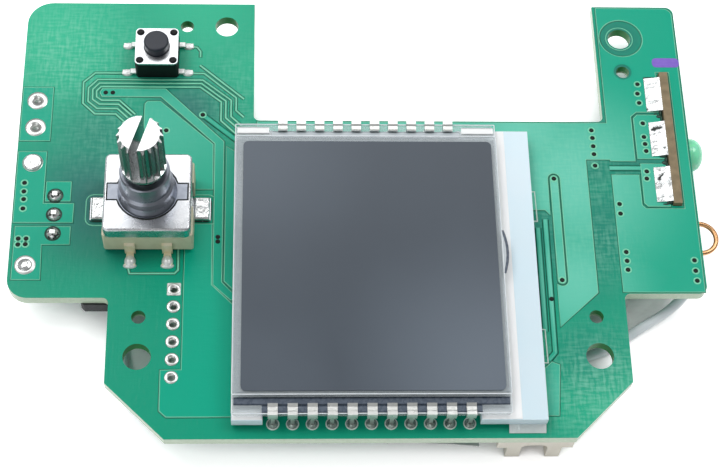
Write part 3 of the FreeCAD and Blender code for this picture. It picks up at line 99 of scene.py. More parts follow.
def power(name, description, watts):
    """A lamp's power that a user may change."""
    return bpy.props.FloatProperty(name=name, description=description, default=watts, min=0, unit="POWER")


class TesterSizes(bpy.types.PropertyGroup):
    """Sizes of what is printed, plated and soldered on the board."""

    copper_high: length("Copper", "Copper with its solder mask above the bare laminate", 0.07)
    copper_edge: length("Copper edge", "Slope at the edge of a copper area", 0.05)
    rim_wide: length("Copper rim", "Pale line where the mask thins over a copper edge", 0.16)
    skirt_wide: length("Mask skirt", "Dark line where the mask pools beside copper", 0.22)
    trace_wide: length("Trace", "Width of a signal trace", 0.32)
    link_wide: length("Wide trace", "Width of a supply trace", 0.75)
    trace_high: length("Trace height", "Height of a trace's crown above the laminate", 0.08)
    via_r: length("Via", "Radius of a via's ring", 0.55)
    via_hole_r: length("Via hole", "Radius of a via's hole", 0.33)
    land_thick: length("Land", "Thickness of a tinned land", 0.1)
    header_land_r: length("Header land", "Radius of a header hole's land", 0.92)
    header_hole_r: length("Header hole", "Radius inside a header hole's barrel", 0.46)
    wire_land_r: length("Wire land", "Radius of a wire hole's land", 1.45)
    wire_hole_r: length("Wire hole", "Radius inside a wire hole's barrel", 0.5)
    leg_land_r: length("Leg land", "Radius of the ring round a display leg", 0.86)
    ledge_wide: length("Ledge print", "Width of a strip on the display's ledge", 1.1)
    dome_strip: length("Snap dome", "Sheet of a snap dome", 0.09)
    print_wide: length("Print line", "Width of a printed line", 0.26)
    weave: length("Weave", "Spacing of the laminate's glass threads", 0.4)
    thread_run: length("Thread run", "Length over which a glass thread keeps its tone", 2.2)


class TesterColours(bpy.types.PropertyGroup):
    """Colours of the board's finishes."""

    bare: colour("Mask on laminate", "Solder mask over bare laminate", "#079B7B")
    # Painted shade, laid on soft patches of the bare laminate
    shaded: colour("Mask over shade", "Solder mask on laminate with dark parts under it", "#226E67")
    # Painted light, laid on soft patches of the bare laminate
    pale: colour("Mask over light", "Solder mask on laminate that light comes through", "#34BE95")
    thread: colour("Glass thread", "Glass threads that show through the mask", "#9ADCC4")
    covered: colour("Mask on copper", "Solder mask over copper", "#04A788")
    # Painted light, laid on soft patches of the copper's mask
    covered_painted_light: colour("Painted light on mask over copper", "Thinner solder mask over bright copper", "#68CBB2")
    rim: colour("Copper rim", "Mask that thins over a copper edge", "#7FD9B5")
    skirt: colour("Mask skirt", "Mask that pools beside copper", "#12705A")
    edge: colour("Cut edge", "Routed edge of the laminate", "#B9D3B4")
    wall: colour("Hole wall", "Drilled wall of a screw hole", "#3E8F52")
    tin: colour("Tin", "Tinned lands and leads", "#EFF0ED")
    steel: colour("Steel", "Pressed steel shell and cover", "#DBDCDE")
    zinc: colour("Zinc", "Die cast bushing", "#9CA1AB")
    screen: colour("Screen", "Dark polariser of the display", "#3B444F")
    guide: colour("Light guide", "Acrylic light guide", "#D6EFFB")
    jacket: colour("Wire jacket", "Insulation of the link wire", "#F4F9FC")
    lens: colour("Lamp lens", "Tinted lens of the indicator lamp", "#78F2C6")


class TesterStudio(bpy.types.PropertyGroup):
    """Camera and light."""

    lens: bpy.props.FloatProperty(
        name="Lens", description="Focal length on a 36 mm wide sensor", default=86.47, min=1, unit="CAMERA"
    )
    softbox_power: power("Softbox", "Power of the lamp behind the board", 0.72)
    wing_power: power("Wings", "Power of each lamp beside the softbox", 1.02)
    fill_power: power("Fill", "Power of the lamp in front of the board", 0.8)
    sky: bpy.props.FloatProperty(
        name="Sky", description="Strength of the even light all round", default=0.32, min=0, subtype="FACTOR"
    )
    paper: colour("Paper", "Floor under the board", "#FAFAFA")


def sizes():
    return bpy.context.scene.tester_sizes


def colours():
    return bpy.context.scene.tester_colours


def spot(x, y, z=0.0):
    """A place in the row frame from millimetres on the board."""
    return ORIGIN + Vector((x, y, z)) * MM


def grain(millimetres):
    """Texture scale whose features are that large."""
    return 1 / (millimetres * MM)


def shade(tone):
    """The linear colour of an sRGB code, or of a named colour that a user may change."""
    return linear(tone) if tone.startswith("#") else getattr(colours(), tone)


def feed(tree, node, inputs):
    """Set a node's inputs, or link them to other nodes: to an output, or to a node's first output."""
    for key, value in inputs.items():
        if isinstance(value, bpy.types.Node):
            value = value.outputs[0]
        if isinstance(value, bpy.types.NodeSocket):
            tree.links.new(value, node.inputs[key])
        else:
            node.inputs[key].default_value = value


def add(tree, kind, settings=None, inputs=None):
    """Add a shader node, set its properties, and set or link its inputs."""
    node = tree.nodes.new("ShaderNode" + kind)
    for name, value in (settings or {}).items():
        setattr(node, name, value)
    feed(tree, node, inputs or {})
    return node


SMOOTH = {"interpolation_type": "SMOOTHSTEP"}
MULTIPLY = {"operation": "MULTIPLY"}
MAXIMUM = {"operation": "MAXIMUM"}


def surface(name, settings):
    """A new material, its tree and its shader with fixed values set on the shader's own sockets."""
    material = bpy.data.materials.new(name)
    material.use_nodes = True
    tree = material.node_tree
    shader = tree.nodes["Principled BSDF"]
    feed(tree, shader, settings)
    return material, tree, shader


def mottled(name, first, second, patch, rough, bump=0.0, metal=0.0, settings=None):
    """A surface that drifts between two colours in soft patches, with roughness and bump to match."""
    material, tree, shader = surface(name, {"Metallic": metal, **(settings or {})})
    place = add(tree, "TexCoord").outputs["Object"]
    inputs = {"Vector": place, "Scale": grain(patch), "Detail": 4.0}
    noise = add(tree, "TexNoise", None, inputs)
    low, high = rough
    look = {
        "Base Color": blend(tree, noise, shade(first), shade(second)),
        "Roughness": add(tree, "MapRange", None, {0: noise, 3: low, 4: high}),
    }
    if bump:
        look["Normal"] = add(tree, "Bump", None, {"Height": noise, "Distance": bump * MM})
    feed(tree, shader, look)
    return material


def weave_pattern(tree, place):
    """Brightness of woven glass cloth: threads both ways, each thin across and long along its run."""
    across = 1 / sizes().weave
    along = 1 / sizes().thread_run
    ways = []
    for scale in ((across, along, 1.0), (along, across, 1.0)):
        stretched = add(tree, "Mapping", None, {"Vector": place, "Scale": scale})
        ways.append(add(tree, "TexNoise", None, {"Vector": stretched, "Scale": 1.0, "Detail": 2.0}))
    both = add(tree, "Math", {"operation": "ADD"}, {0: ways[0], 1: ways[1]})
    dim, bright = 0.85, 1.3
    return add(tree, "MapRange", None, {0: both, 1: dim, 2: bright})


def zone(tree, place, patches):
    """Soft patches of the board, each with its middle, radius and strength."""
    strongest = None
    for x, y, radius, strength in patches:
        gap = add(tree, "VectorMath", {"operation": "DISTANCE"}, {0: place, 1: spot(x, y)})
        limits = {0: gap.outputs["Value"], 1: radius * MM, 2: 0.0, 4: strength}
        fade = add(tree, "MapRange", SMOOTH, limits)
        if strongest is None:
            strongest = fade
            continue
        strongest = add(tree, "Math", MAXIMUM, {0: strongest, 1: fade})
    return strongest


def blend(tree, share, first, second):
    """The colour between two others."""
    return add(tree, "Mix", {"data_type": "RGBA"}, {0: share, 6: first, 7: second}).outputs[2]


# Soft patches of the board's look, each with its middle, radius and strength: painted light and painted
# shade on bare laminate, painted light on copper, weave that shows, and painted reflection on the screen
PAINTED_LIGHT_LAMINATE = [
    (-44, 63, 24, 0.9), (-24, 65, 18, 0.7), (-16, 57, 12, 0.5), (31, 5, 11, 0.6), (0, 47, 30, 0.3),
]
PAINTED_SHADE_LAMINATE = [
    (-37, 35, 15, 1.0), (-33, 29, 8, 0.6), (-25, 49, 9, 0.9), (-37, 45, 11, 0.5), (27, 30, 16, 0.6),
    (29, 11, 8, 0.4), (32, 31, 14, 0.5), (32, 40, 7, 0.5), (38, 44, 12, 0.75), (37.5, 56, 3, 0.9),
    (37.5, 61.7, 6, 0.8),
]
PAINTED_LIGHT_COPPER = [
    (29, 38, 20, 1.0), (28, 22, 14, 0.95), (-8, 46, 14, 0.9), (8, 46, 14, 1.0), (22, 46, 14, 1.0),
    (-27, 46, 16, 0.35), (24, 6, 8, 0.5),
]
WOVEN_PATCHES = [
    (30, 7, 13, 0.45), (31, 28, 10, 0.3), (-42, 58, 16, 0.35), (-36, 46, 14, 0.2), (-18, 52, 14, 0.2),
    (28, 40, 16, 0.3), (5, 46, 20, 0.2),
]
PAINTED_REFLECTION_SCREEN = [(15, 7, 24, 0.75), (-17, 40, 22, 0.4), (-12, 5, 14, 0.25)]


@functools.cache
def masked_laminate():
    """Glass cloth laminate under glossy green solder mask, with painted light and painted shade in soft
    patches: the weave shows through, cut edges are pale.
    """
    tints = colours()
    fibre, relief_deep = 0.35, 0.012
    wall_reach, wall_strength = 2.2, 4.0
    gloss = {"Roughness": 0.25, "IOR": 1.5, "Specular IOR Level": 0.2}
    material, tree, shader = surface("Solder mask on glass laminate", gloss)
    coordinates = add(tree, "TexCoord")
    place = coordinates.outputs["Object"]
    # Painted light and painted shade on the bare laminate, in soft patches
    tone = blend(tree, zone(tree, place, PAINTED_LIGHT_LAMINATE), tints.bare, tints.pale)
    tone = blend(tree, zone(tree, place, PAINTED_SHADE_LAMINATE), tone, tints.shaded)
    cloth = weave_pattern(tree, place)
    woven = zone(tree, place, WOVEN_PATCHES)
    shown = add(tree, "Math", MULTIPLY, {0: cloth, 1: woven})
    top = blend(tree, shown, tone, tints.thread)
    facing = add(tree, "SeparateXYZ", None, {0: coordinates.outputs["Normal"]}).outputs["Z"]
    flat = add(tree, "Math", {"operation": "ABSOLUTE"}, {0: facing})
    fibres = add(tree, "TexNoise", None, {"Vector": place, "Scale": grain(fibre), "Detail": 3.0})
    edge = blend(tree, fibres, tints.edge, linear("#DDEBD9"))
    holes = [(x, y, wall_reach * radius, wall_strength) for x, y, radius in SCREW_HOLES]
    nearness = zone(tree, place, holes)
    edge = blend(tree, nearness, edge, tints.wall)
    relief = add(tree, "Bump", None, {"Height": cloth, "Distance": relief_deep * MM})
    feed(tree, shader, {"Base Color": blend(tree, flat, edge, top), "Normal": relief})
    return material


@functools.cache
def masked_copper():
    """Solder mask over rolled copper: smoother and brighter green, with painted light in soft patches and a
    faint weave under it.
    """
    tints = colours()
    weave_share, relief_deep = 0.6, 0.006
    gloss = {"Roughness": 0.24, "IOR": 1.5, "Specular IOR Level": 0.2}
    material, tree, shader = surface("Solder mask on copper", gloss)
    place = add(tree, "TexCoord").outputs["Object"]
    # Painted light on the copper's mask, in soft patches
    tone = blend(tree, zone(tree, place, PAINTED_LIGHT_COPPER), tints.covered, tints.covered_painted_light)
    cloth = weave_pattern(tree, place)
    woven = zone(tree, place, WOVEN_PATCHES)
    shown = add(tree, "Math", MULTIPLY, {0: cloth, 1: woven})
    faint = add(tree, "Math", MULTIPLY, {0: shown, 1: weave_share})
    tone = blend(tree, faint, tone, tints.thread)
    relief = add(tree, "Bump", None, {"Height": cloth, "Distance": relief_deep * MM})
    feed(tree, shader, {"Base Color": tone, "Normal": relief})
    return material


@functools.cache
def fluxed_solder(patch, start):
    """Solder with burnt flux on it: metal drifting between bright and grey with the noise of its folds, and
    black crusts where the flux gathered.

    The crusts have a size in millimetres, and start where their pattern passes a value.
    """
    fold, fold_deep, crust_edge = 1.8, 0.2, 0.08
    material, tree, shader = surface("Fluxed solder", {})
    place = add(tree, "TexCoord").outputs["Object"]
    folds = add(tree, "TexNoise", None, {"Vector": place, "Scale": grain(fold), "Detail": 3.0})
    metal = blend(tree, folds, linear("#FBFCFB"), linear("#A3A9AB"))
    crust = add(tree, "TexNoise", None, {"Vector": place, "Scale": grain(patch), "Detail": 5.0})
    limits = {0: crust, 1: start, 2: start + crust_edge}
    burnt = add(tree, "MapRange", None, limits)
    look = {
        "Base Color": blend(tree, burnt, metal, linear("#16211C")),
        "Metallic": add(tree, "MapRange", None, {0: burnt, 3: 0.8, 4: 0.0}),
        "Roughness": add(tree, "MapRange", None, {0: burnt, 3: 0.22, 4: 0.55}),
    }
    relief = add(tree, "Bump", None, {"Height": folds, "Distance": fold_deep * MM})
    feed(tree, shader, {**look, "Normal": relief})
    return material


@functools.cache
def turned_aluminium():
    """Turned and knurled aluminium: white on the flat end and darker down the flutes, a painted shade by
    which way each face turns.
    """
    material, tree, shader = surface("Turned aluminium", {"Metallic": 1.0})
    coordinates = add(tree, "TexCoord")
    streak = 0.6
    side_facing, end_facing = 0.1, 0.6
    inputs = {"Vector": coordinates.outputs["Object"], "Scale": grain(streak), "Detail": 3.0}
    noise = add(tree, "TexNoise", None, inputs)
    facing = add(tree, "SeparateXYZ", None, {0: coordinates.outputs["Normal"]}).outputs["Z"]
    # Painted shade: sides darker and the flat end lighter by which way a face turns
    painted_light_share = add(tree, "MapRange", None, {0: facing, 1: side_facing, 2: end_facing})
    end = blend(tree, noise, linear("#EDEEEE"), linear("#CDD0D2"))
    side = blend(tree, noise, linear("#9CA1A1"), linear("#6F7676"))
    rough = add(tree, "MapRange", None, {0: noise, 3: 0.18, 4: 0.32})
    feed(tree, shader, {"Base Color": blend(tree, painted_light_share, side, end), "Roughness": rough})
    return material


@functools.cache
def display_polariser():
    """Anti-glare polariser over a dark cell: slate, paler in soft patches of painted reflection."""
    cloud_size = 14
    material, tree, shader = surface("Anti-glare polariser", {"IOR": 1.49})
    place = add(tree, "TexCoord").outputs["Object"]
    cloud = add(tree, "TexNoise", None, {"Vector": place, "Scale": grain(cloud_size), "Detail": 3.0})
    tone = blend(tree, cloud, colours().screen, linear("#434E5A"))
    # Painted reflection: the slate turns paler in soft patches
    painted_reflection = zone(tree, place, PAINTED_REFLECTION_SCREEN)
    tone = blend(tree, painted_reflection, tone, linear("#6B7784"))
    rough = add(tree, "MapRange", None, {0: cloud, 3: 0.28, 4: 0.36})
    feed(tree, shader, {"Base Color": tone, "Roughness": rough})
    return material


@functools.cache
def chip_ceramic(light, dark):
    """Fired chip ceramic: fine grained and dull."""
    return mottled("Chip ceramic " + light[1:], light, dark, 0.2, (0.4, 0.6), 0.01)


# Plain finishes: two colours, the size of their patches and the range of roughness, then the bump, the share
# of metal and other settings of the shader
FINISHES = {
    # Solder mask drawn thin over a copper edge: the metal shines through as a pale line
    "Thin mask on a copper edge": ("rim", "#6CCBA6", 1.5, (0.25, 0.35)),
    # Solder mask pooled beside copper: thicker, so darker
    "Pooled solder mask": ("skirt", "#1F7F66", 2.0, (0.25, 0.4)),
    # Hot tinned copper: bright, with the soft ripple that solder leaves
    "Tinned copper": ("tin", "#CDD0CE", 0.5, (0.22, 0.4), 0.02, 0.9),
    # Hand laid tin solder: lumpy, drifting between mirror bright and grey with the same noise as its bump
    "Soft solder": ("#FAFBFA", "#9DA2A4", 1.7, (0.14, 0.3), 0.25, 0.85),
    # Solder that set with a frosted skin: pale from every side, with a soft shine
    "Frosted solder": ("#FCFDFC", "#D3D9D7", 0.7, (0.2, 0.4), 0.08, 0.3),
    # Tinned brass strip: pale, with the yellow of the brass where the tin is thin
    "Tinned brass": ("#FBF6E4", "#DDD09F", 0.9, (0.25, 0.4), 0.02, 0.25),
    # Burnt flux round a joint: a brown black crust with a dull gloss; in the encoder's lug slots it is burnt
    # flux with painted shade
    "Burnt flux and painted slot shade": ("#0D2B22", "#1C4A3B", 0.4, (0.3, 0.55), 0.03),
    # Solder drawn down into a hole: a dark green grey dish of painted shade and painted reflection of the
    # mask, with bright flecks of painted highlight
    "Dished solder": ("#35544A", "#C6D6CE", 0.7, (0.15, 0.3), 0.25, 0.7),
    # The thin lip of solder round a leg: pale, a painted light against the display's shadow, with the mask's
    # green as a painted reflection in its shade
    "Solder lip": ("#FBFFFC", "#D2E2D9", 0.6, (0.2, 0.35), 0.03, 0.1),
    # Painted shade: the dark inside of a drilled hole too small to model, and the dark seam round the
    # encoder's shell
    "Painted shade in holes and seams": ("#070B09", "#18221D", 0.2, (0.7, 0.9)),
    # Screen printed white ink: matt, thinner in places
    "White board print": ("#EDF6F0", "#B9DCCB", 0.4, (0.5, 0.7)),
    # Violet felt pen: streaky, and thin where the stroke ends
    "Violet marker ink": ("#6B45BE", "#8A6BD0", 0.6, (0.35, 0.5)),
    # Unmasked laminate on its cut edge: khaki layers of glass and resin
    "Bare glass laminate": ("#A3906E", "#5A4E38", 1.3, (0.5, 0.75), 0.03),
    # Nickel plated pressed steel: pale, with a fine drawn grain
    "Nickel plated steel": ("steel", "#BFC3C8", 1.4, (0.2, 0.34), 0.01, 1.0),
    # Die cast zinc turned on its outside: grey, with a satin sheen
    "Die cast zinc": ("zinc", "#7F848E", 0.8, (0.22, 0.38), 0.02, 1.0),
    # Rolled phosphor bronze strip: warm and springy
    "Phosphor bronze": ("#C79A62", "#A87E4C", 0.8, (0.25, 0.4), 0.01, 1.0),
    # Black glass filled nylon: matt, with a moulded texture
    "Black moulded nylon": (
        "#08090A", "#15171A", 0.25, (0.42, 0.6), 0.02, 0.0, {"Specular IOR Level": 0.25},
    ),
    # Dark grey acetal: soft sheen on a moulded knob
    "Dark grey acetal": ("#141924", "#1E2634", 0.4, (0.34, 0.48), 0.01),
    # Natural polyester: cream, with a faint green cast of painted reflection from the board
    "Natural polyester": ("#DDDABF", "#C6C2A4", 1.2, (0.42, 0.58), 0.02),
    # Natural nylon: off white and slightly waxy
    "Natural nylon": (
        "#ECE8DB", "#DCD7C8", 1.5, (0.38, 0.52), 0.02, 0.0,
        {"Subsurface Weight": 0.15, "Subsurface Radius": (0.001, 0.001, 0.001)},
    ),
    # Transflective film behind the cell: silvery, so the clear margins of the glass look pale
    "Transflective film": ("#C4CBD2", "#AAB3BB", 2.5, (0.3, 0.45), 0.0, 0.4),
    # Thin soda lime glass: all but clear, with a pale veil of painted reflection and a polished sheen
    "Soda lime glass": ("#DDE6EA", "#CBD7DD", 6.0, (0.02, 0.06), 0.0, 0.0, {"Alpha": 0.3, "IOR": 1.52}),
    # Cured epoxy between the glasses: milky grey
    "Milky epoxy": ("#CBD2D6", "#AEB8BF", 0.8, (0.35, 0.5), 0.01),
    # Clear acrylic over white film: pale blue and evenly bright, polished on top
    "Backlight acrylic": (
        "guide", "#E2EFF8", 9.0, (0.12, 0.2), 0.0, 0.0,
        {"Subsurface Weight": 0.25, "Subsurface Radius": (0.002, 0.002, 0.002), "IOR": 1.49},
    ),
    # White polyester film: matt and bright
    "White polyester film": ("#FFFFFF", "#F4F8FA", 4.0, (0.35, 0.5), 0.01),
    # Silvered reflector film: crinkled, with white and grey patches of painted reflection
    "Silvered film": ("#F8FCFC", "#CFE0DF", 1.6, (0.12, 0.3), 0.35, 0.3),
    # Painted highlight along the glass's ground edge: a thin white line
    "Painted highlight on ground glass edge": ("#F4F8FA", "#CFDAE0", 1.5, (0.35, 0.55)),
    # Painted shade: a dark slate strip on the display's front ledge, and the dark line along the end seal's
    # rim
    "Painted ledge shade and dark seal line": ("#3C4655", "#5C6877", 0.5, (0.2, 0.35), 0.01),
    # Green tinted diffused epoxy: glows where light comes through it
    "Green diffused epoxy": (
        "lens", "#9BEBC0", 1.8, (0.14, 0.24), 0.0, 0.0,
        {"Subsurface Weight": 0.4, "Subsurface Radius": (0.001, 0.002, 0.001), "IOR": 1.54},
    ),
    # White lamp housing: bright moulded polyamide
    "White polyamide": ("#F2EFDF", "#E3DEC6", 0.6, (0.4, 0.55), 0.01),
    # Drawn copper wire: orange, with a brown bloom
    "Drawn copper": ("#E0B488", "#B98557", 2.4, (0.2, 0.36), 0.0, 1.0),
    # White insulation: soft and slightly glossy, greyed by handling
    "White wire insulation": ("jacket", "#E4EEF6", 2.2, (0.3, 0.45), 0.02),
    # Deep drawn nickel silver can: smooth, with a drawn grain
    "Nickel silver can": ("#CFCDC6", "#B5B2AA", 1.6, (0.18, 0.3), 0.01, 1.0),
    # Nickel plated copper tab: satin, with fine scratches
    "Plated copper tab": ("#C9C8C4", "#A9A7A2", 1.1, (0.28, 0.42), 0.02, 1.0),
    # Sintered ferrite: dark grey and grainy
    "Sintered ferrite": ("#34363A", "#232528", 0.3, (0.55, 0.75), 0.04),
    # Pressed insulating paper: grey white, with fibres
    "Insulating paper": ("#D2D4D3", "#BFC2C1", 0.5, (0.65, 0.85), 0.03),
}


@functools.cache
def finish(name):
    """A plain finish, made once."""
    return mottled(name, *FINISHES[name])


def keep(piece, look):
    """Give a finished piece its slot and its look, a plain finish's name or a material, and let it ride."""
    piece.data.materials.append(finish(look) if isinstance(look, str) else look)
    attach(piece, BOARD)


def arc(x, y, radius, start, end, points=12):
    """Points along an arc in millimetres, from one turn to another in degrees."""
    turns = [math.radians(start + (end - start) * i / points) for i in range(points + 1)]
    return [(x + radius * math.cos(turn), y + radius * math.sin(turn)) for turn in turns]


def circle(x, y, radius):
    """A closed round loop."""
    return arc(x, y, radius, 0, 360, 36)[:-1]


def stadium(x, low, high, radius):
    """A closed loop with straight sides and round ends."""
    return arc(x, high, radius, 0, 180) + arc(x, low, radius, 180, 360)


def block(x_low, y_low, x_high, y_high, radius):
    """A closed rectangle with round corners."""
    corners = [(x_high, y_high, 0), (x_low, y_high, 90), (x_low, y_low, 180), (x_high, y_low, 270)]
    loop = []
    for x, y, turn in corners:
        inner_x = x - radius if x == x_high else x + radius
        inner_y = y - radius if y == y_high else y + radius
        loop += arc(inner_x, inner_y, radius, turn, turn + 90, 4)
    return loop


def mesh_piece(name, mesh):
    """A linked object for a finished mesh."""
    piece = bpy.data.objects.new(name, mesh)
    bpy.context.scene.collection.objects.link(piece)
    return piece


def curve_mesh(curve):
    """The mesh of a curve, without keeping the curve."""
    carrier = bpy.data.objects.new("curve", curve)
    mesh = bpy.data.meshes.new_from_object(carrier)
    bpy.data.objects.remove(carrier)
    bpy.data.curves.remove(curve)
    return mesh


def add_lines(curve, loops, closed):
    """Straight sided lines through points in millimetres, as splines of a curve."""
    for loop in loops:
        spline = curve.splines.new("POLY")
        spline.points.add(len(loop) - 1)
        for point, (x, y) in zip(spline.points, loop):
            point.co = (x * MM, y * MM, 0, 1)
        spline.use_cyclic_u = closed


def shape_piece(name, shape):
    """A linked object with smooth faces for a finished shape, which is freed."""
    for face in shape.faces:
        face.smooth = True
    mesh = bpy.data.meshes.new(name)
    shape.to_mesh(mesh)
    shape.free()
    return mesh_piece(name, mesh)


def plates(name, outlines, high, edge):
    """Flat plates on the board, each from its outer loop and its holes, with sloping edges."""
    curve = bpy.data.curves.new(name, "CURVE")
    curve.dimensions = "2D"
    curve.fill_mode = "BOTH"
    curve.extrude = high - edge
    curve.bevel_depth = edge
    curve.bevel_resolution = 0
    curve.offset = -edge
    add_lines(curve, outlines, True)
    mesh = curve_mesh(curve)
    mesh.transform(Matrix.Translation(ORIGIN))
    return mesh_piece(name, mesh)


def ribbons(name, width, paths, crown, closed=False, z=0.0):
    """Low rounded lines of one width along paths, at a height above the board."""
    curve = bpy.data.curves.new(name, "CURVE")
    curve.dimensions = "3D"
    curve.bevel_depth = width / 2
    curve.bevel_resolution = 1
    curve.use_fill_caps = True
    add_lines(curve, paths, closed)
    mesh = curve_mesh(curve)
    mesh.transform(Matrix.Translation(spot(0, 0, z)) @ Matrix.Diagonal((1, 1, 2 * crown / width, 1)))
    return mesh_piece(name, mesh)


def turned(name, profile, places, steps=24):
    """Copies of a profile of radius and height, turned about upright axes."""
    shape = bmesh.new()
    corners = [shape.verts.new(Vector((radius, 0, height))) for radius, height in profile]
    for first, second in zip(corners, corners[1:]):
        shape.edges.new((first, second))
    geometry = shape.verts[:] + shape.edges[:]
    bmesh.ops.spin(
        shape, geom=geometry, axis=(0, 0, 1), cent=(0, 0, 0), angle=2 * math.pi, steps=steps, use_merge=True
    )
    bmesh.ops.remove_doubles(shape, verts=shape.verts[:], dist=1e-7)
    bmesh.ops.recalc_face_normals(shape, faces=shape.faces[:])
    first_copy = shape.verts[:] + shape.edges[:] + shape.faces[:]
    start = places[0]
    for place in places[1:]:
        copy = bmesh.ops.duplicate(shape, geom=first_copy)["geom"]
        moved = [item for item in copy if isinstance(item, bmesh.types.BMVert)]
        bmesh.ops.translate(shape, verts=moved, vec=place - start)
    piece = shape_piece(name, shape)
    piece.data.transform(Matrix.Translation(start))
    return piece


def lumps(name, places):
    """Rounded lumps on the board, each with its middle, half widths and height."""
    shape = bmesh.new()
    for x, y, half_x, half_y, high in places:
        place = Matrix.Translation(spot(x, y)) @ Matrix.Diagonal((half_x * MM, half_y * MM, high * MM, 1))
        bmesh.ops.create_icosphere(shape, subdivisions=3, radius=1, matrix=place)
    return shape_piece(name, shape)


# Screw holes with their radii, then the locating pegs' holes
SCREW_HOLES = [(-30.48, 11.5, 1.85), (30.48, 11.5, 1.85), (-19.5, 63.4, 1.65), (37.5, 61.7, 1.65)]
SCREW_HOLES += [(-30.48, 17.2, 0.95), (30.48, 17.2, 0.95), (-25.2, 63.4, 0.95), (37.5, 56.0, 0.95)]

HEADER_X = -25.9
HEADER_ROWS = [8.55 + 2.54 * i for i in range(6)]
WIRE_PAD_X = -45.85
OPEN_PADS = [46.3, 50.65]
SOLDERED_PADS = [24.85, 40.6]
FRONT_LEG_Y = 2.045
REAR_LEG_Y = 45.355
LEG_PITCH = 2.54

# Heights of the pale rim and the dark skirt of a copper edge, as shares of the copper's height
RIM_CROWN = 1.15
SKIRT_CROWN = 0.4

# The link wire's route under the board, from the left pad to the right lobe
WIRE_ROUTE = [
    (-43.671, 24.874, -3.635), (-39.98, 24.915, -4.881), (-36.0, 23.8, -6.05), (-33.6, 19.4, -6.05),
    (-32.1, 7.4, -6.05), (-27.0, 3.9, -6.05), (-14.0, 2.2, -6.05), (31.4, 13.9, -6.05),
    (36.1, 17.3, -5.95), (43.0, 21.05, -4.75), (44.8, 23.6, -2.7),
]
WIRE_RADIUS = 0.68


class TESTER_OT_stage(bpy.types.Operator):
    """Set up the camera, the lamps, the sky and the paper floor"""

    bl_idname = "tester.stage"
    bl_label = "Stage"

    # The photograph's camera: its place, its turn about the upright, its tilt and its roll
    place = (-0.012207, -0.112984, 0.215191)
    yaw = -5.709
    tilt = 27.696
    roll = 5.14
    sensor_wide = 36
    clip_start = 0.01

    floor_half = 2.0
    floor_drop = 0.00005
    # The paper's glow, how far off a part still dims it to a painted shade, and how open the sky is where
    # the glow starts and is full
    glow = 0.65
    shade_reach = 0.03
    shade_range = (0.22, 0.5)

    def execute(self, context):
        self.camera(context)
        self.lamps(context)
        self.sky(context)
        self.floor(context)
        return {"FINISHED"}

    def camera(self, context):
        data = bpy.data.cameras.new("photo_camera")
        data.sensor_fit = "HORIZONTAL"
        data.sensor_width = self.sensor_wide
        data.lens = context.scene.tester_studio.lens
        data.clip_start = self.clip_start
        camera = bpy.data.objects.new("photo_camera", data)
        turn = Matrix.Rotation(math.radians(self.yaw), 4, "Z")
        turn @= Matrix.Rotation(math.radians(self.tilt), 4, "X")
        turn @= Matrix.Rotation(math.radians(self.roll), 4, "Z")
        camera.matrix_world = Matrix.Translation(self.place) @ turn
        context.scene.collection.objects.link(camera)
        context.scene.camera = camera

    def lamps(self, context):
        studio = context.scene.tester_studio
        lamps = [
            ("softbox", (-0.034, 0.381, 0.463), 0.41, 0.255, studio.softbox_power),
            ("left_wing", (-0.27, 0.16, 0.52), 0.25, 0.25, studio.wing_power),
            ("right_wing", (0.29, 0.14, 0.52), 0.25, 0.25, studio.wing_power),
            ("fill", (-0.35, -0.45, 0.4), 0.5, 0.5, studio.fill_power),
        ]
        for name, place, wide, high, power in lamps:
            data = bpy.data.lights.new(name, "AREA")
            data.shape = "RECTANGLE"
            data.size = wide
            data.size_y = high
            data.energy = power
            lamp = bpy.data.objects.new(name, data)
            lamp.location = place
            lamp.rotation_euler = (-Vector(place)).to_track_quat("-Z", "Y").to_euler()
            context.scene.collection.objects.link(lamp)

    def sky(self, context):
        world = bpy.data.worlds.new("studio")
        world.use_nodes = True
        tree = world.node_tree
        light = {"Color": linear("#FFFFFF"), "Strength": context.scene.tester_studio.sky}
        feed(tree, tree.nodes["Background"], light)
        context.scene.world = world
        context.scene.view_settings.view_transform = "Standard"

    def floor(self, context):
        shape = bmesh.new()
        bmesh.ops.create_grid(shape, x_segments=1, y_segments=1, size=self.floor_half)
        floor = shape_piece("paper_floor", shape)
        floor.data.transform(Matrix.Translation((0, 0, -self.floor_drop)))
        floor.data.materials.append(self.paper(context))

    def paper(self, context):
        """White studio paper: nearly full white in the open, with the board's shadow on it, deepened by a
        painted shade where its glow fades under the board.
        """
        look = {"Roughness": 0.9, "Base Color": context.scene.tester_studio.paper}
        material, tree, shader = surface("White studio paper", look)
        path = add(tree, "LightPath")
        seen = path.outputs["Is Camera Ray"]
        for ray in ("Is Glossy Ray", "Is Transmission Ray"):
            pair = {0: seen, 1: path.outputs[ray]}
            seen = add(tree, "Math", MAXIMUM, pair)
        reach = {"Distance": self.shade_reach}
        # Painted shade: the paper's glow fades where the board is close above it
        open_sky = add(tree, "AmbientOcclusion", {"samples": 8}, reach).outputs["AO"]
        start, full = self.shade_range
        limits = {0: open_sky, 1: start, 2: full, 4: self.glow}
        here = add(tree, "MapRange", SMOOTH, limits)
        share = add(tree, "Math", MULTIPLY, {0: seen, 1: here})
        glow = add(tree, "Emission", None, {"Strength": share})
        mixed = add(tree, "AddShader", None, {0: shader, 1: glow})
        feed(tree, tree.nodes["Material Output"], {"Surface": mixed})
        return material


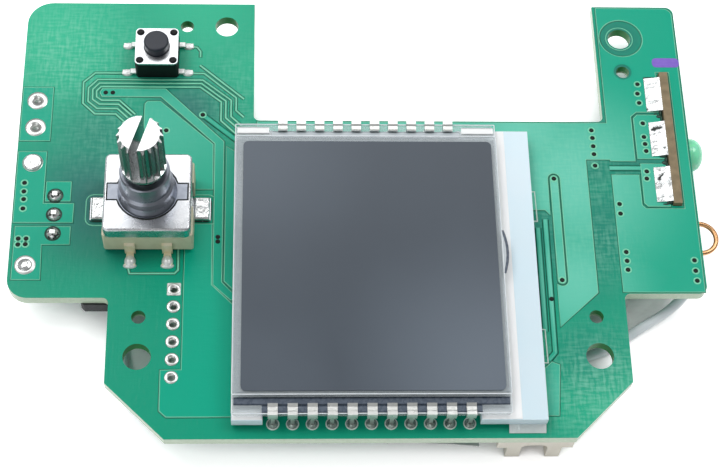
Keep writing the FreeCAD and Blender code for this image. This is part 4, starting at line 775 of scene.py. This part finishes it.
class TESTER_OT_link_wire(bpy.types.Operator):
    """Lay the white wire under the board"""

    bl_idname = "tester.link_wire"
    bl_label = "Link wire"

    def execute(self, context):
        curve = bpy.data.curves.new("link_wire_jacket", "CURVE")
        curve.dimensions = "3D"
        curve.bevel_depth = WIRE_RADIUS * MM
        curve.bevel_resolution = 5
        curve.resolution_u = 10
        curve.use_fill_caps = True
        spline = curve.splines.new("NURBS")
        spline.points.add(len(WIRE_ROUTE) - 1)
        for point, place in zip(spline.points, WIRE_ROUTE):
            point.co = (*spot(*place), 1)
        spline.order_u = 3
        spline.use_endpoint_u = True
        wire = bpy.data.objects.new("link_wire_jacket", curve)
        context.scene.collection.objects.link(wire)
        keep(wire, "White wire insulation")
        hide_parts("link_wire")
        return {"FINISHED"}


class TESTER_OT_node_finishes(bpy.types.Operator):
    """Give every CAD node its real finish"""

    bl_idname = "tester.node_finishes"
    bl_label = "Finishes"

    # The nodes that have each plain finish
    plain = {
        "Bare glass laminate": ["side_board"],
        "Soft solder": ["encoder_lug_solder", "wire_pad_solder"],
        # The encoder base's green cast is painted reflection from the board
        "Natural polyester": ["encoder_base"],
        "Natural nylon": ["connector_housing"],
        "Nickel plated steel": ["encoder_shell", "button_cover"],
        "Die cast zinc": ["encoder_bushing"],
        "Black moulded nylon": ["button_base", "controller", "power_transistor_body", "encoder_rotor"],
        "Dark grey acetal": ["button_plunger"],
        "Tinned brass": ["encoder_terminals"],
        "Frosted solder": ["button_legs"],
        "Tinned copper": [
            "lcd_pins_front", "lcd_pins_rear", "controller_leads", "connector_contacts",
            "power_transistor_leads", "indicator_lamp_leads", "link_wire_ends",
        ],
        "Phosphor bronze": ["encoder_contacts", "encoder_wiper", "encoder_detent_spring"],
        # Both glasses carry a pale veil of painted reflection
        "Soda lime glass": ["lcd_rear_glass", "lcd_front_glass"],
        "Transflective film": ["lcd_rear_polariser"],
        "Milky epoxy": ["lcd_edge_seal", "lcd_end_seal"],
        "Backlight acrylic": ["light_guide"],
        # The reflector's white and grey patches are painted reflection
        "Silvered film": ["reflector_film"],
        "White polyester film": ["diffuser_film", "backlight_tape"],
        "White polyamide": ["backlight_lamps"],
        "Green diffused epoxy": ["indicator_lamp"],
        "Drawn copper": ["shunt_loop"],
        "Nickel silver can": ["crystal"],
        "Plated copper tab": ["power_transistor_tab"],
        "Sintered ferrite": ["power_inductor"],
        "Insulating paper": ["insulating_strip"],
    }

    def execute(self, context):
        groups = [(finish(name), nodes) for name, nodes in self.plain.items()]
        groups += [
            (masked_laminate(), ["main_board"]),
            (fluxed_solder(1.3, 0.6), ["side_board_solder"]),
            (fluxed_solder(0.5, 0.5), ["power_transistor_solder"]),
            (turned_aluminium(), ["encoder_shaft"]),
            (display_polariser(), ["lcd_front_polariser"]),
            (chip_ceramic("#1B1C1E", "#2A2C2F"), ["chip_resistors"]),
            (chip_ceramic("#B79A74", "#A3865F"), ["chip_capacitors"]),
        ]
        for material, nodes in groups:
            for name in nodes:
                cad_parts[name].material_slots[0].material = material
        return {"FINISHED"}


class TESTER_OT_snap_domes(bpy.types.Operator):
    """Turn the snap domes under the shaft and the button"""

    bl_idname = "tester.snap_domes"
    bl_label = "Snap domes"

    # Each dome's node, its joint, and the share of its height that is left at full travel
    domes = [("encoder_push_dome", "encoder_push", 0.08), ("button_dome", "button_push", 0.6)]

    def execute(self, context):
        strip = context.scene.tester_sizes.dome_strip
        for name, joint, left in self.domes:
            low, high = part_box(name)
            base = Vector(((low.x + high.x) / 2, (low.y + high.y) / 2, low.z))
            r = (high.x - low.x) / 2
            top = high.z - low.z
            # The dome's section, in shares of its radius and height
            outside = [(0.0, top), (0.55 * r, 0.8 * top), (r, strip), (r, 0.0)]
            inside = [(0.9 * r, 0.0), (0.5 * r, 0.8 * top - strip), (0.0, top - strip)]
            dome = turned("snapping_" + name, outside + inside, [base], 32)
            keep(dome, "Phosphor bronze")
            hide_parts(name)
            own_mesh(dome)
        return {"FINISHED"}


class TESTER_OT_copper(bpy.types.Operator):
    """Raise the copper areas and traces under the solder mask"""

    bl_idname = "tester.copper"
    bl_label = "Copper"

    # Copper areas at the left: wire lands, transistor lands, and both sides of the encoder
    left_areas = [
        [(-47.9, 44.15), (-43.75, 44.15), (-43.75, 52.85), (-47.9, 52.85)],
        [(-47.9, 31.3), (-39.9, 31.3), (-39.9, 34.2), (-44.05, 34.2), (-44.05, 42.35), (-47.9, 42.35)],
        [(-43.75, 34.6), (-40.4, 34.6), (-40.4, 37.6), (-43.75, 37.6)],
        [(-47.55, 22.7), (-43.75, 22.7), (-43.9, 27.95), (-40.15, 27.95), (-40.15, 30.65), (-47.55, 30.65)],
        [
            (-30.8, 40.0), (-24.5, 36.5), (-21.05, 36.5), (-21.15, 43.65), (-28.65, 50.65),
            (-30.45, 50.65), (-30.8, 50.2),
        ],
        [
            (-24.65, 31.1), (-21.05, 31.1), (-20.95, 21.9), (-17.0, 17.9), (-17.0, 3.05), (-26.4, 3.05),
            (-27.3, 3.9), (-27.35, 9.55), (-24.6, 9.6),
        ],
        [
            (-36.9, 51.45), (-28.6, 51.45), (-20.85, 43.8), (-20.75, 21.95), (-18.4, 19.7),
            (-17.2, 19.7), (-19.6, 22.3), (-19.65, 44.1), (-28.0, 52.7), (-36.9, 52.7), (-37.2, 52.1),
        ],
        [(-19.25, 22.45), (-17.2, 20.4), (-17.2, 41.9), (-19.25, 43.3)],
    ]
    # The wide area at the right, from the waist round the side board to the strip behind the display
    right_area = [
        (25.55, 15.7), (30.95, 20.75), (30.95, 41.45), (34.45, 41.45), (34.45, 41.2), (37.95, 41.2),
        (37.95, 48.5), (38.8, 49.25), (42.2, 49.25), (42.2, 56.0), (44.2, 56.0), (44.2, 33.6),
        (38.75, 33.6), (38.25, 34.15), (38.25, 38.95), (34.45, 38.95), (34.45, 20.85), (45.55, 20.85),
        *arc(44.4, 65.85, 1.2, 0, 90),
        (34.45, 67.05), (34.45, 47.35), (-15.0, 47.35), (-15.0, 43.0), (22.9, 43.0), (22.9, 33.4),
        (24.7, 33.4), (25.35, 32.6),
        *arc(26.25, 38.3, 0.9, 180, 0),
        *arc(26.25, 22.6, 0.9, 0, -140),
    ]
    right_islands = [
        [(38.35, 41.6), (42.2, 41.6), (42.2, 48.75), (38.9, 48.75), (38.35, 48.2)],
        [(38.65, 34.5), (39.1, 34.0), (42.2, 34.0), (42.2, 40.75), (38.65, 40.75)],
        [(23.0, 3.1), (24.4, 3.1), (25.0, 10.2), (24.0, 10.6), (23.0, 9.7)],
        stadium(26.25, 22.6, 38.3, 0.5),
    ]
    ring_land = (37.75, 61.8, 3.2)
    hole_rim = circle(37.5, 61.7, 1.95)

    # Signal traces: a nest of four, then single ones
    signals = [
        [
            (-34.2, 55.35), (-38.0, 55.35), (-39.6, 53.8), (-39.5, 50.3), (-37.75, 48.55),
            (-34.85, 48.55), (-33.3, 47.0),
        ],
        [
            (-33.1, 47.9), (-34.65, 49.45), (-37.5, 49.45), (-38.8, 50.6), (-38.85, 52.85),
            (-37.6, 54.25), (-22.8, 54.25), (-18.7, 50.9), (-18.7, 48.2), (-17.2, 46.7),
        ],
        [
            (-32.6, 48.3), (-34.5, 50.15), (-37.2, 50.15), (-38.2, 50.95), (-38.25, 52.6),
            (-37.35, 53.65), (-22.95, 53.65), (-19.45, 50.75), (-19.45, 48.0), (-17.2, 45.75),
        ],
        [
            (-32.1, 48.5), (-34.4, 50.8), (-36.9, 50.8), (-37.65, 51.35), (-37.7, 52.35), (-37.1, 53.05),
            (-23.1, 53.05), (-20.1, 50.6), (-20.1, 47.5), (-17.2, 44.6),
        ],
        [(-24.4, 55.35), (-22.6, 55.35), (-18.0, 51.3), (-18.0, 49.2), (-16.9, 48.1)],
        [(-23.2, 56.7), (-16.9, 51.1)],
        [(-24.3, 59.9), (-23.7, 59.8), (-23.2, 59.1), (-23.2, 58.1)],
        [(-27.7, 43.85), (-26.4, 43.85), (-25.2, 42.7)],
        [(-32.15, 24.6), (-31.9, 23.6), (-25.9, 23.6), (-25.45, 24.1), (-25.5, 27.2)],
    ]
    broad = [
        [(-22.66, 48.44), (-17.2, 43.75)],
        [(34.2, 40.05), (38.6, 40.05)],
        [(24.6, 31.9), (24.55, 12.0), (23.6, 10.9)],
        [(23.5, 30.6), (23.45, 15.0)],
    ]

    # Radii of the holes in the copper under a wire's and a header's land, and the gap round a peg's hole
    wire_clear = 1.2
    header_clear = 0.75
    peg_clear = 0.4

    def execute(self, context):
        s = context.scene.tester_sizes
        lands = [circle(WIRE_PAD_X, y, self.wire_clear) for y in OPEN_PADS]
        lands.append(circle(HEADER_X, HEADER_ROWS[0], self.header_clear))
        x, y, radius = SCREW_HOLES[-1]
        pegs = [circle(x, y, radius + self.peg_clear)]
        outer = [*self.left_areas, self.right_area, *self.right_islands]
        ring = circle(*self.ring_land)
        for name, loops in (
            ("copper_left", self.left_areas + lands),
            ("copper_right", [self.right_area, ring, *pegs]),
            ("copper_islands", self.right_islands),
        ):
            keep(plates(name, loops, s.copper_high, s.copper_edge), masked_copper())
        rims = [*outer, ring, self.hole_rim]
        rims = ribbons("copper_rims", s.rim_wide, rims, RIM_CROWN * s.copper_high, True)
        keep(rims, "Thin mask on a copper edge")
        crown = SKIRT_CROWN * s.copper_high
        skirts = ribbons("copper_skirts", 2 * s.skirt_wide, [*outer, ring], crown, True)
        keep(skirts, "Pooled solder mask")

        for name, width, paths, look in (
            ("signal", s.trace_wide, self.signals, "Thin mask on a copper edge"),
            ("link", s.link_wide, self.broad, masked_copper()),
        ):
            keep(ribbons(name + "_traces", width, paths, s.trace_high), look)
            below = ribbons(name + "_skirts", width + s.skirt_wide, paths, SKIRT_CROWN * s.trace_high)
            keep(below, "Pooled solder mask")
        return {"FINISHED"}


class TESTER_OT_lands(bpy.types.Operator):
    """Plate the wire holes, the header row, the vias and the display legs' lands"""

    bl_idname = "tester.lands"
    bl_label = "Lands and vias"

    right_vias = [
        (32.15, 46.15), (32.2, 44.9), (32.2, 43.55), (32.2, 42.25), (32.2, 40.4), (35.1, 34.3),
        (35.1, 32.8), (35.35, 26.85), (35.35, 25.5), (35.35, 24.15), (44.6, 25.6), (44.6, 24.0),
        (44.65, 22.5), (39.4, 39.5), (39.3, 38.35), (39.6, 47.35), (39.55, 45.1), (39.6, 43.95),
        (39.65, 42.8), (39.45, 53.9), (39.3, 52.3), (39.4, 50.75), (26.25, 38.3), (26.25, 22.6),
    ]
    left_vias = [
        (-46.75, 37.4), (-46.75, 36.05), (-46.7, 34.85), (-46.7, 33.4), (-47.0, 28.8), (-45.95, 28.8),
        (-47.0, 27.9), (-46.0, 27.95), (-22.66, 48.44), (-27.7, 45.85),
    ]
    covered_vias = [(24.6, 19.8), (-36.4, 52.05), (-35.4, 52.05), (-20.2, 29.1), (-20.2, 28.4)]
    front_legs = 11
    rear_legs = 10

    def execute(self, context):
        s = context.scene.tester_sizes
        eyelet = self.eyelet(s.wire_land_r, s.wire_hole_r, s.land_thick)
        pads = [spot(WIRE_PAD_X, y) for y in OPEN_PADS + SOLDERED_PADS]
        keep(turned("wire_lands", eyelet, pads, 32), "Tinned copper")

        eyelet = self.eyelet(s.header_land_r, s.header_hole_r, s.land_thick)
        pins = [spot(HEADER_X, y) for y in HEADER_ROWS]
        keep(turned("header_lands", eyelet, pins, 24), "Tinned copper")
        x, y, half = HEADER_X, HEADER_ROWS[-1], s.header_land_r / MM
        square = block(x - half, y - half, x + half, y + half, 0.15)
        hole = circle(x, y, s.header_hole_r / MM)
        first = plates("header_first_land", [square, hole], 0.9 * s.land_thick, 0.2 * s.land_thick)
        keep(first, "Tinned copper")

        vias = [spot(x, y) for x, y in self.right_vias + self.left_vias]
        low, high = s.copper_high, 1.4 * s.copper_high
        ring = [(s.via_r, 0.0), (s.via_r, low), (0.9 * s.via_r, high)]
        ring += [(s.via_hole_r, high), (s.via_hole_r, 0.0)]
        keep(turned("via_rings", ring, vias, 16), "Thin mask on a copper edge")
        pits = vias + [spot(x, y) for x, y in self.covered_vias]
        pit = [(0.0, 0.0), (s.via_hole_r, 0.0), (s.via_hole_r, 1.2 * low), (0.0, 1.2 * low)]
        # Painted shade: dark discs where the vias' holes are
        keep(turned("via_holes", pit, pits, 16), "Painted shade in holes and seams")

        legs = []
        for count, y in ((self.front_legs, FRONT_LEG_Y), (self.rear_legs, REAR_LEG_Y)):
            legs += [spot((i - (count - 1) / 2) * LEG_PITCH, y) for i in range(count)]
        # Sections of the solder round a leg, in shares of its land's radius and thickness
        r = s.leg_land_r
        thick = s.land_thick
        rim = [(0.8 * r, 0.0), (0.82 * r, thick), (0.9 * r, 1.6 * thick), (0.97 * r, thick), (r, 0.0)]
        # Painted light on the solder lips against the display's shadow, with the mask's green as painted
        # reflection
        keep(turned("leg_rings", rim, legs, 24), "Solder lip")
        dish = [(0.3 * r, 0.0), (0.84 * r, 0.0), (0.84 * r, 0.5 * thick)]
        dish += [(0.6 * r, 0.7 * thick), (0.3 * r, 3 * thick)]
        # Painted shade, reflection and highlights in the solder's dish
        keep(turned("leg_solder", dish, legs, 20), "Dished solder")
        return {"FINISHED"}

    def eyelet(self, land, hole, thick):
        """A plated hole's section: both lands and the barrel between them."""
        bottom = -BOARD_THICK * MM
        below = bottom - thick
        barrel = hole * 1.1
        section = [(hole, thick), (land * 0.97, thick), (land, thick * 0.4), (land, 0.0), (barrel, 0.0)]
        return section + [(barrel, bottom), (land, bottom), (land, below), (hole, below), (hole, thick)]


class TESTER_OT_joints(bpy.types.Operator):
    """Lay solder and flux on the hand soldered parts, with painted shade in the encoder's lug slots and
    along the seams of its shell
    """

    bl_idname = "tester.joints"
    bl_label = "Joints and seams"

    encoder = (-29.4, 32.55)
    lug_slots = [(-8.3, -1.2, -5.6, 2.55), (5.6, -1.2, 8.3, 2.55)]
    seam_r = 4.2
    seam_wing = (5.4, 1.27)
    shell_top = 6.5
    slot_corner = 0.7
    rim_gap = 0.5
    rim_corner = 1.0
    feet = [(-2.5, -7.3), (2.5, -7.3), (-2.5, 7.3), (0, 7.3), (2.5, 7.3)]
    button = (-29.2, 57.65)
    button_feet = [(-4.3, -2.25), (4.3, -2.25), (-4.3, 2.25), (4.3, 2.25)]
    # Half widths and heights of the solder on a foot and at its toe, with their shifts outward, and on a
    # button's foot
    foot_lump, foot_shift = (0.78, 0.95, 0.72), -0.1
    toe_lump, toe_shift = (0.92, 0.45, 0.42), 0.5
    button_lump = (0.8, 0.56, 0.36)
    side_flux = [
        (41.2, 55.0, 1.0, 0.16, 0.15), (40.6, 54.8, 0.35, 0.3, 0.12), (42.3, 49.1, 0.25, 0.5, 0.3),
        (42.0, 48.5, 0.4, 0.3, 0.2), (42.35, 48.1, 0.22, 0.6, 0.3), (41.6, 48.9, 0.3, 0.14, 0.15),
        (42.35, 41.4, 0.25, 0.5, 0.3), (42.0, 41.9, 0.6, 0.2, 0.2), (42.1, 40.9, 0.42, 0.35, 0.2),
        (42.4, 40.5, 0.22, 0.5, 0.3), (42.2, 34.5, 0.5, 0.25, 0.25), (41.6, 34.3, 0.5, 0.15, 0.15),
    ]

    def execute(self, context):
        s = context.scene.tester_sizes
        x, y = self.encoder
        feet = []
        for a, b in self.feet:
            out = math.copysign(1, b)
            feet.append((x + a, y + b + self.foot_shift * out, *self.foot_lump))
            feet.append((x + a, y + b + self.toe_shift * out, *self.toe_lump))
        x, y = self.button
        feet += [(x + a, y + b, *self.button_lump) for a, b in self.button_feet]
        keep(lumps("foot_solder", feet), "Frosted solder")
        keep(lumps("side_flux", self.side_flux), "Burnt flux and painted slot shade")

        low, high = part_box("power_transistor_solder")
        radius = (high.x - low.x) / 2
        middle = (low.x + high.x) / 2
        rows = (low.y + radius, (low.y + high.y) / 2, high.y - radius)
        pins = [Vector((middle, row, ORIGIN.z)) for row in rows]
        stain = [(0.0, 0.0), (1.25 * radius, 0.0), (1.15 * radius, s.land_thick), (0.0, 1.6 * s.land_thick)]
        keep(turned("pin_flux", stain, pins), "Burnt flux and painted slot shade")

        x, y = self.encoder
        slots = []
        rims = []
        gap = self.rim_gap
        for a, b, c, d in self.lug_slots:
            slots.append(block(x + a, y + b, x + c, y + d, self.slot_corner))
            rims.append(block(x + a - gap, y + b - gap, x + c + gap, y + d + gap, self.rim_corner))
        # Burnt flux with painted shade: dark plates in the slots round the encoder's lugs
        slots = plates("lug_slots", slots, 0.8 * s.copper_high, 0.4 * s.copper_edge)
        keep(slots, "Burnt flux and painted slot shade")
        rims = ribbons("lug_rims", s.rim_wide, rims, RIM_CROWN * s.copper_high, True)
        keep(rims, "Thin mask on a copper edge")

        wide, half = self.seam_wing
        turn = math.degrees(math.asin(half / self.seam_r))
        loop = arc(x, y, self.seam_r, turn, 180 - turn)
        loop += [(x - wide, y + half), (x - wide, y - half)]
        loop += arc(x, y, self.seam_r, 180 + turn, 360 - turn)
        loop += [(x + wide, y - half), (x + wide, y + half)]
        # Painted shade: a dark line along the seams of the encoder's shell
        seam = ribbons("shell_seam", 1.5 * s.rim_wide, [loop], 0.3 * s.copper_high, True, self.shell_top)
        keep(seam, "Painted shade in holes and seams")
        return {"FINISHED"}


class TESTER_OT_display_trim(bpy.types.Operator):
    """Lay painted shade strips, resin and films on the display's ledges, draw a dark line along the end
    seal, and lay painted highlights along the edges of its glasses
    """

    bl_idname = "tester.display_trim"
    bl_label = "Display trim"

    # Painted shade: dark strips across the display's front ledge
    ledge_painted_shade = [[(-17.7, 3.95), (17.7, 3.95)], [(-14.1, 2.85), (14.1, 2.85)]]
    resin_strip = [[(-13.0, 43.45), (13.0, 43.45)]]
    ledge_films = [[(-17.7, 44.1), (-13.3, 44.1)], [(13.3, 44.1), (17.7, 44.1)]]
    edge_inset = 0.08
    edge_corner = 0.1

    def execute(self, context):
        s = context.scene.tester_sizes
        thin = 0.2 * s.copper_high
        lift = self.top("lcd_rear_glass")
        for name, paths, look in (
            ("ledge_painted_shade", self.ledge_painted_shade, "Painted ledge shade and dark seal line"),
            ("resin_strip", self.resin_strip, "Milky epoxy"),
            ("ledge_films", self.ledge_films, "White polyester film"),
        ):
            keep(ribbons(name, s.ledge_wide, paths, thin, False, lift), look)
        low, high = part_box("lcd_end_seal")
        half = (high.y - low.y) / 2 / MM
        bulge = (high.x - low.x) / MM
        radius = (half**2 + bulge**2) / (2 * bulge)
        turn = math.degrees(math.asin(half / radius))
        x, y = ((high - ORIGIN) / MM).xy
        rim = [arc(x - radius, y - half, radius, -turn, turn)]
        # A dark line along the end seal's rim
        line = ribbons("end_seal_rim", 2.2 * s.rim_wide, rim, thin, False, self.top("lcd_end_seal"))
        keep(line, "Painted ledge shade and dark seal line")
        for name in ("lcd_rear_glass", "lcd_front_glass"):
            low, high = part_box(name)
            x_low, y_low = ((low - ORIGIN) / MM).xy
            x_high, y_high = ((high - ORIGIN) / MM).xy
            inset = self.edge_inset
            loop = block(x_low + inset, y_low + inset, x_high - inset, y_high - inset, self.edge_corner)
            # Painted highlight: a thin white line along each glass's ground edge
            edge = ribbons(name + "_edge", s.rim_wide, [loop], thin, True, self.top(name))
            keep(edge, "Painted highlight on ground glass edge")
        return {"FINISHED"}

    def top(self, name):
        """Height of a node's top above the board, in millimetres."""
        low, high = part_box(name)
        return (high.z - ORIGIN.z) / MM


class TESTER_OT_print(bpy.types.Operator):
    """Print the lamp brackets and the inspector's pen mark"""

    bl_idname = "tester.print"
    bl_label = "Print and pen mark"

    brackets = [
        [(22.7, 36.2), (23.4, 36.2), (23.5, 31.6), (22.7, 31.6)],
        [(22.7, 15.3), (23.4, 15.3), (23.5, 10.5), (22.7, 10.5)],
    ]
    pen_mark = block(41.9, 56.8, 45.85, 58.4, 0.6)

    def execute(self, context):
        s = context.scene.tester_sizes
        brackets = ribbons("lamp_brackets", s.print_wide, self.brackets, 1.6 * s.trace_high)
        keep(brackets, "White board print")
        mark = plates("pen_mark", [self.pen_mark], 1.4 * s.copper_high, 0.4 * s.copper_edge)
        keep(mark, "Violet marker ink")
        return {"FINISHED"}


class TESTER_PT_panel(bpy.types.Panel):
    """Lists the board's operators and the values that a user may change"""

    bl_idname = "TESTER_PT_panel"
    bl_label = "Component tester board"
    bl_space_type = "VIEW_3D"
    bl_region_type = "UI"
    bl_category = "Tester"

    def draw(self, context):
        for operator in OPERATORS:
            self.layout.operator(operator.bl_idname)
        for group in ("tester_sizes", "tester_colours", "tester_studio"):
            box = self.layout.box()
            values = getattr(context.scene, group)
            for name in values.bl_rna.properties.keys():
                if name not in ("rna_type", "name"):
                    box.prop(values, name)


GROUPS = {"tester_sizes": TesterSizes, "tester_colours": TesterColours, "tester_studio": TesterStudio}
OPERATORS = (
    TESTER_OT_stage,
    TESTER_OT_link_wire,
    TESTER_OT_node_finishes,
    TESTER_OT_snap_domes,
    TESTER_OT_copper,
    TESTER_OT_lands,
    TESTER_OT_joints,
    TESTER_OT_display_trim,
    TESTER_OT_print,
)


def register():
    for group in GROUPS.values():
        bpy.utils.register_class(group)
    for name, group in GROUPS.items():
        setattr(bpy.types.Scene, name, bpy.props.PointerProperty(type=group))
    for item in (*OPERATORS, TESTER_PT_panel):
        bpy.utils.register_class(item)


def unregister():
    for item in reversed((*OPERATORS, TESTER_PT_panel)):
        bpy.utils.unregister_class(item)
    for name in GROUPS:
        delattr(bpy.types.Scene, name)
    for group in reversed(GROUPS.values()):
        bpy.utils.unregister_class(group)


def main():
    register()
    bpy.ops.tester.stage()
    bpy.ops.tester.link_wire()
    bpy.ops.tester.node_finishes()
    bpy.ops.tester.snap_domes()
    bpy.ops.tester.copper()
    bpy.ops.tester.lands()
    bpy.ops.tester.joints()
    bpy.ops.tester.display_trim()
    bpy.ops.tester.print()


if __name__ == "__main__":
    main()
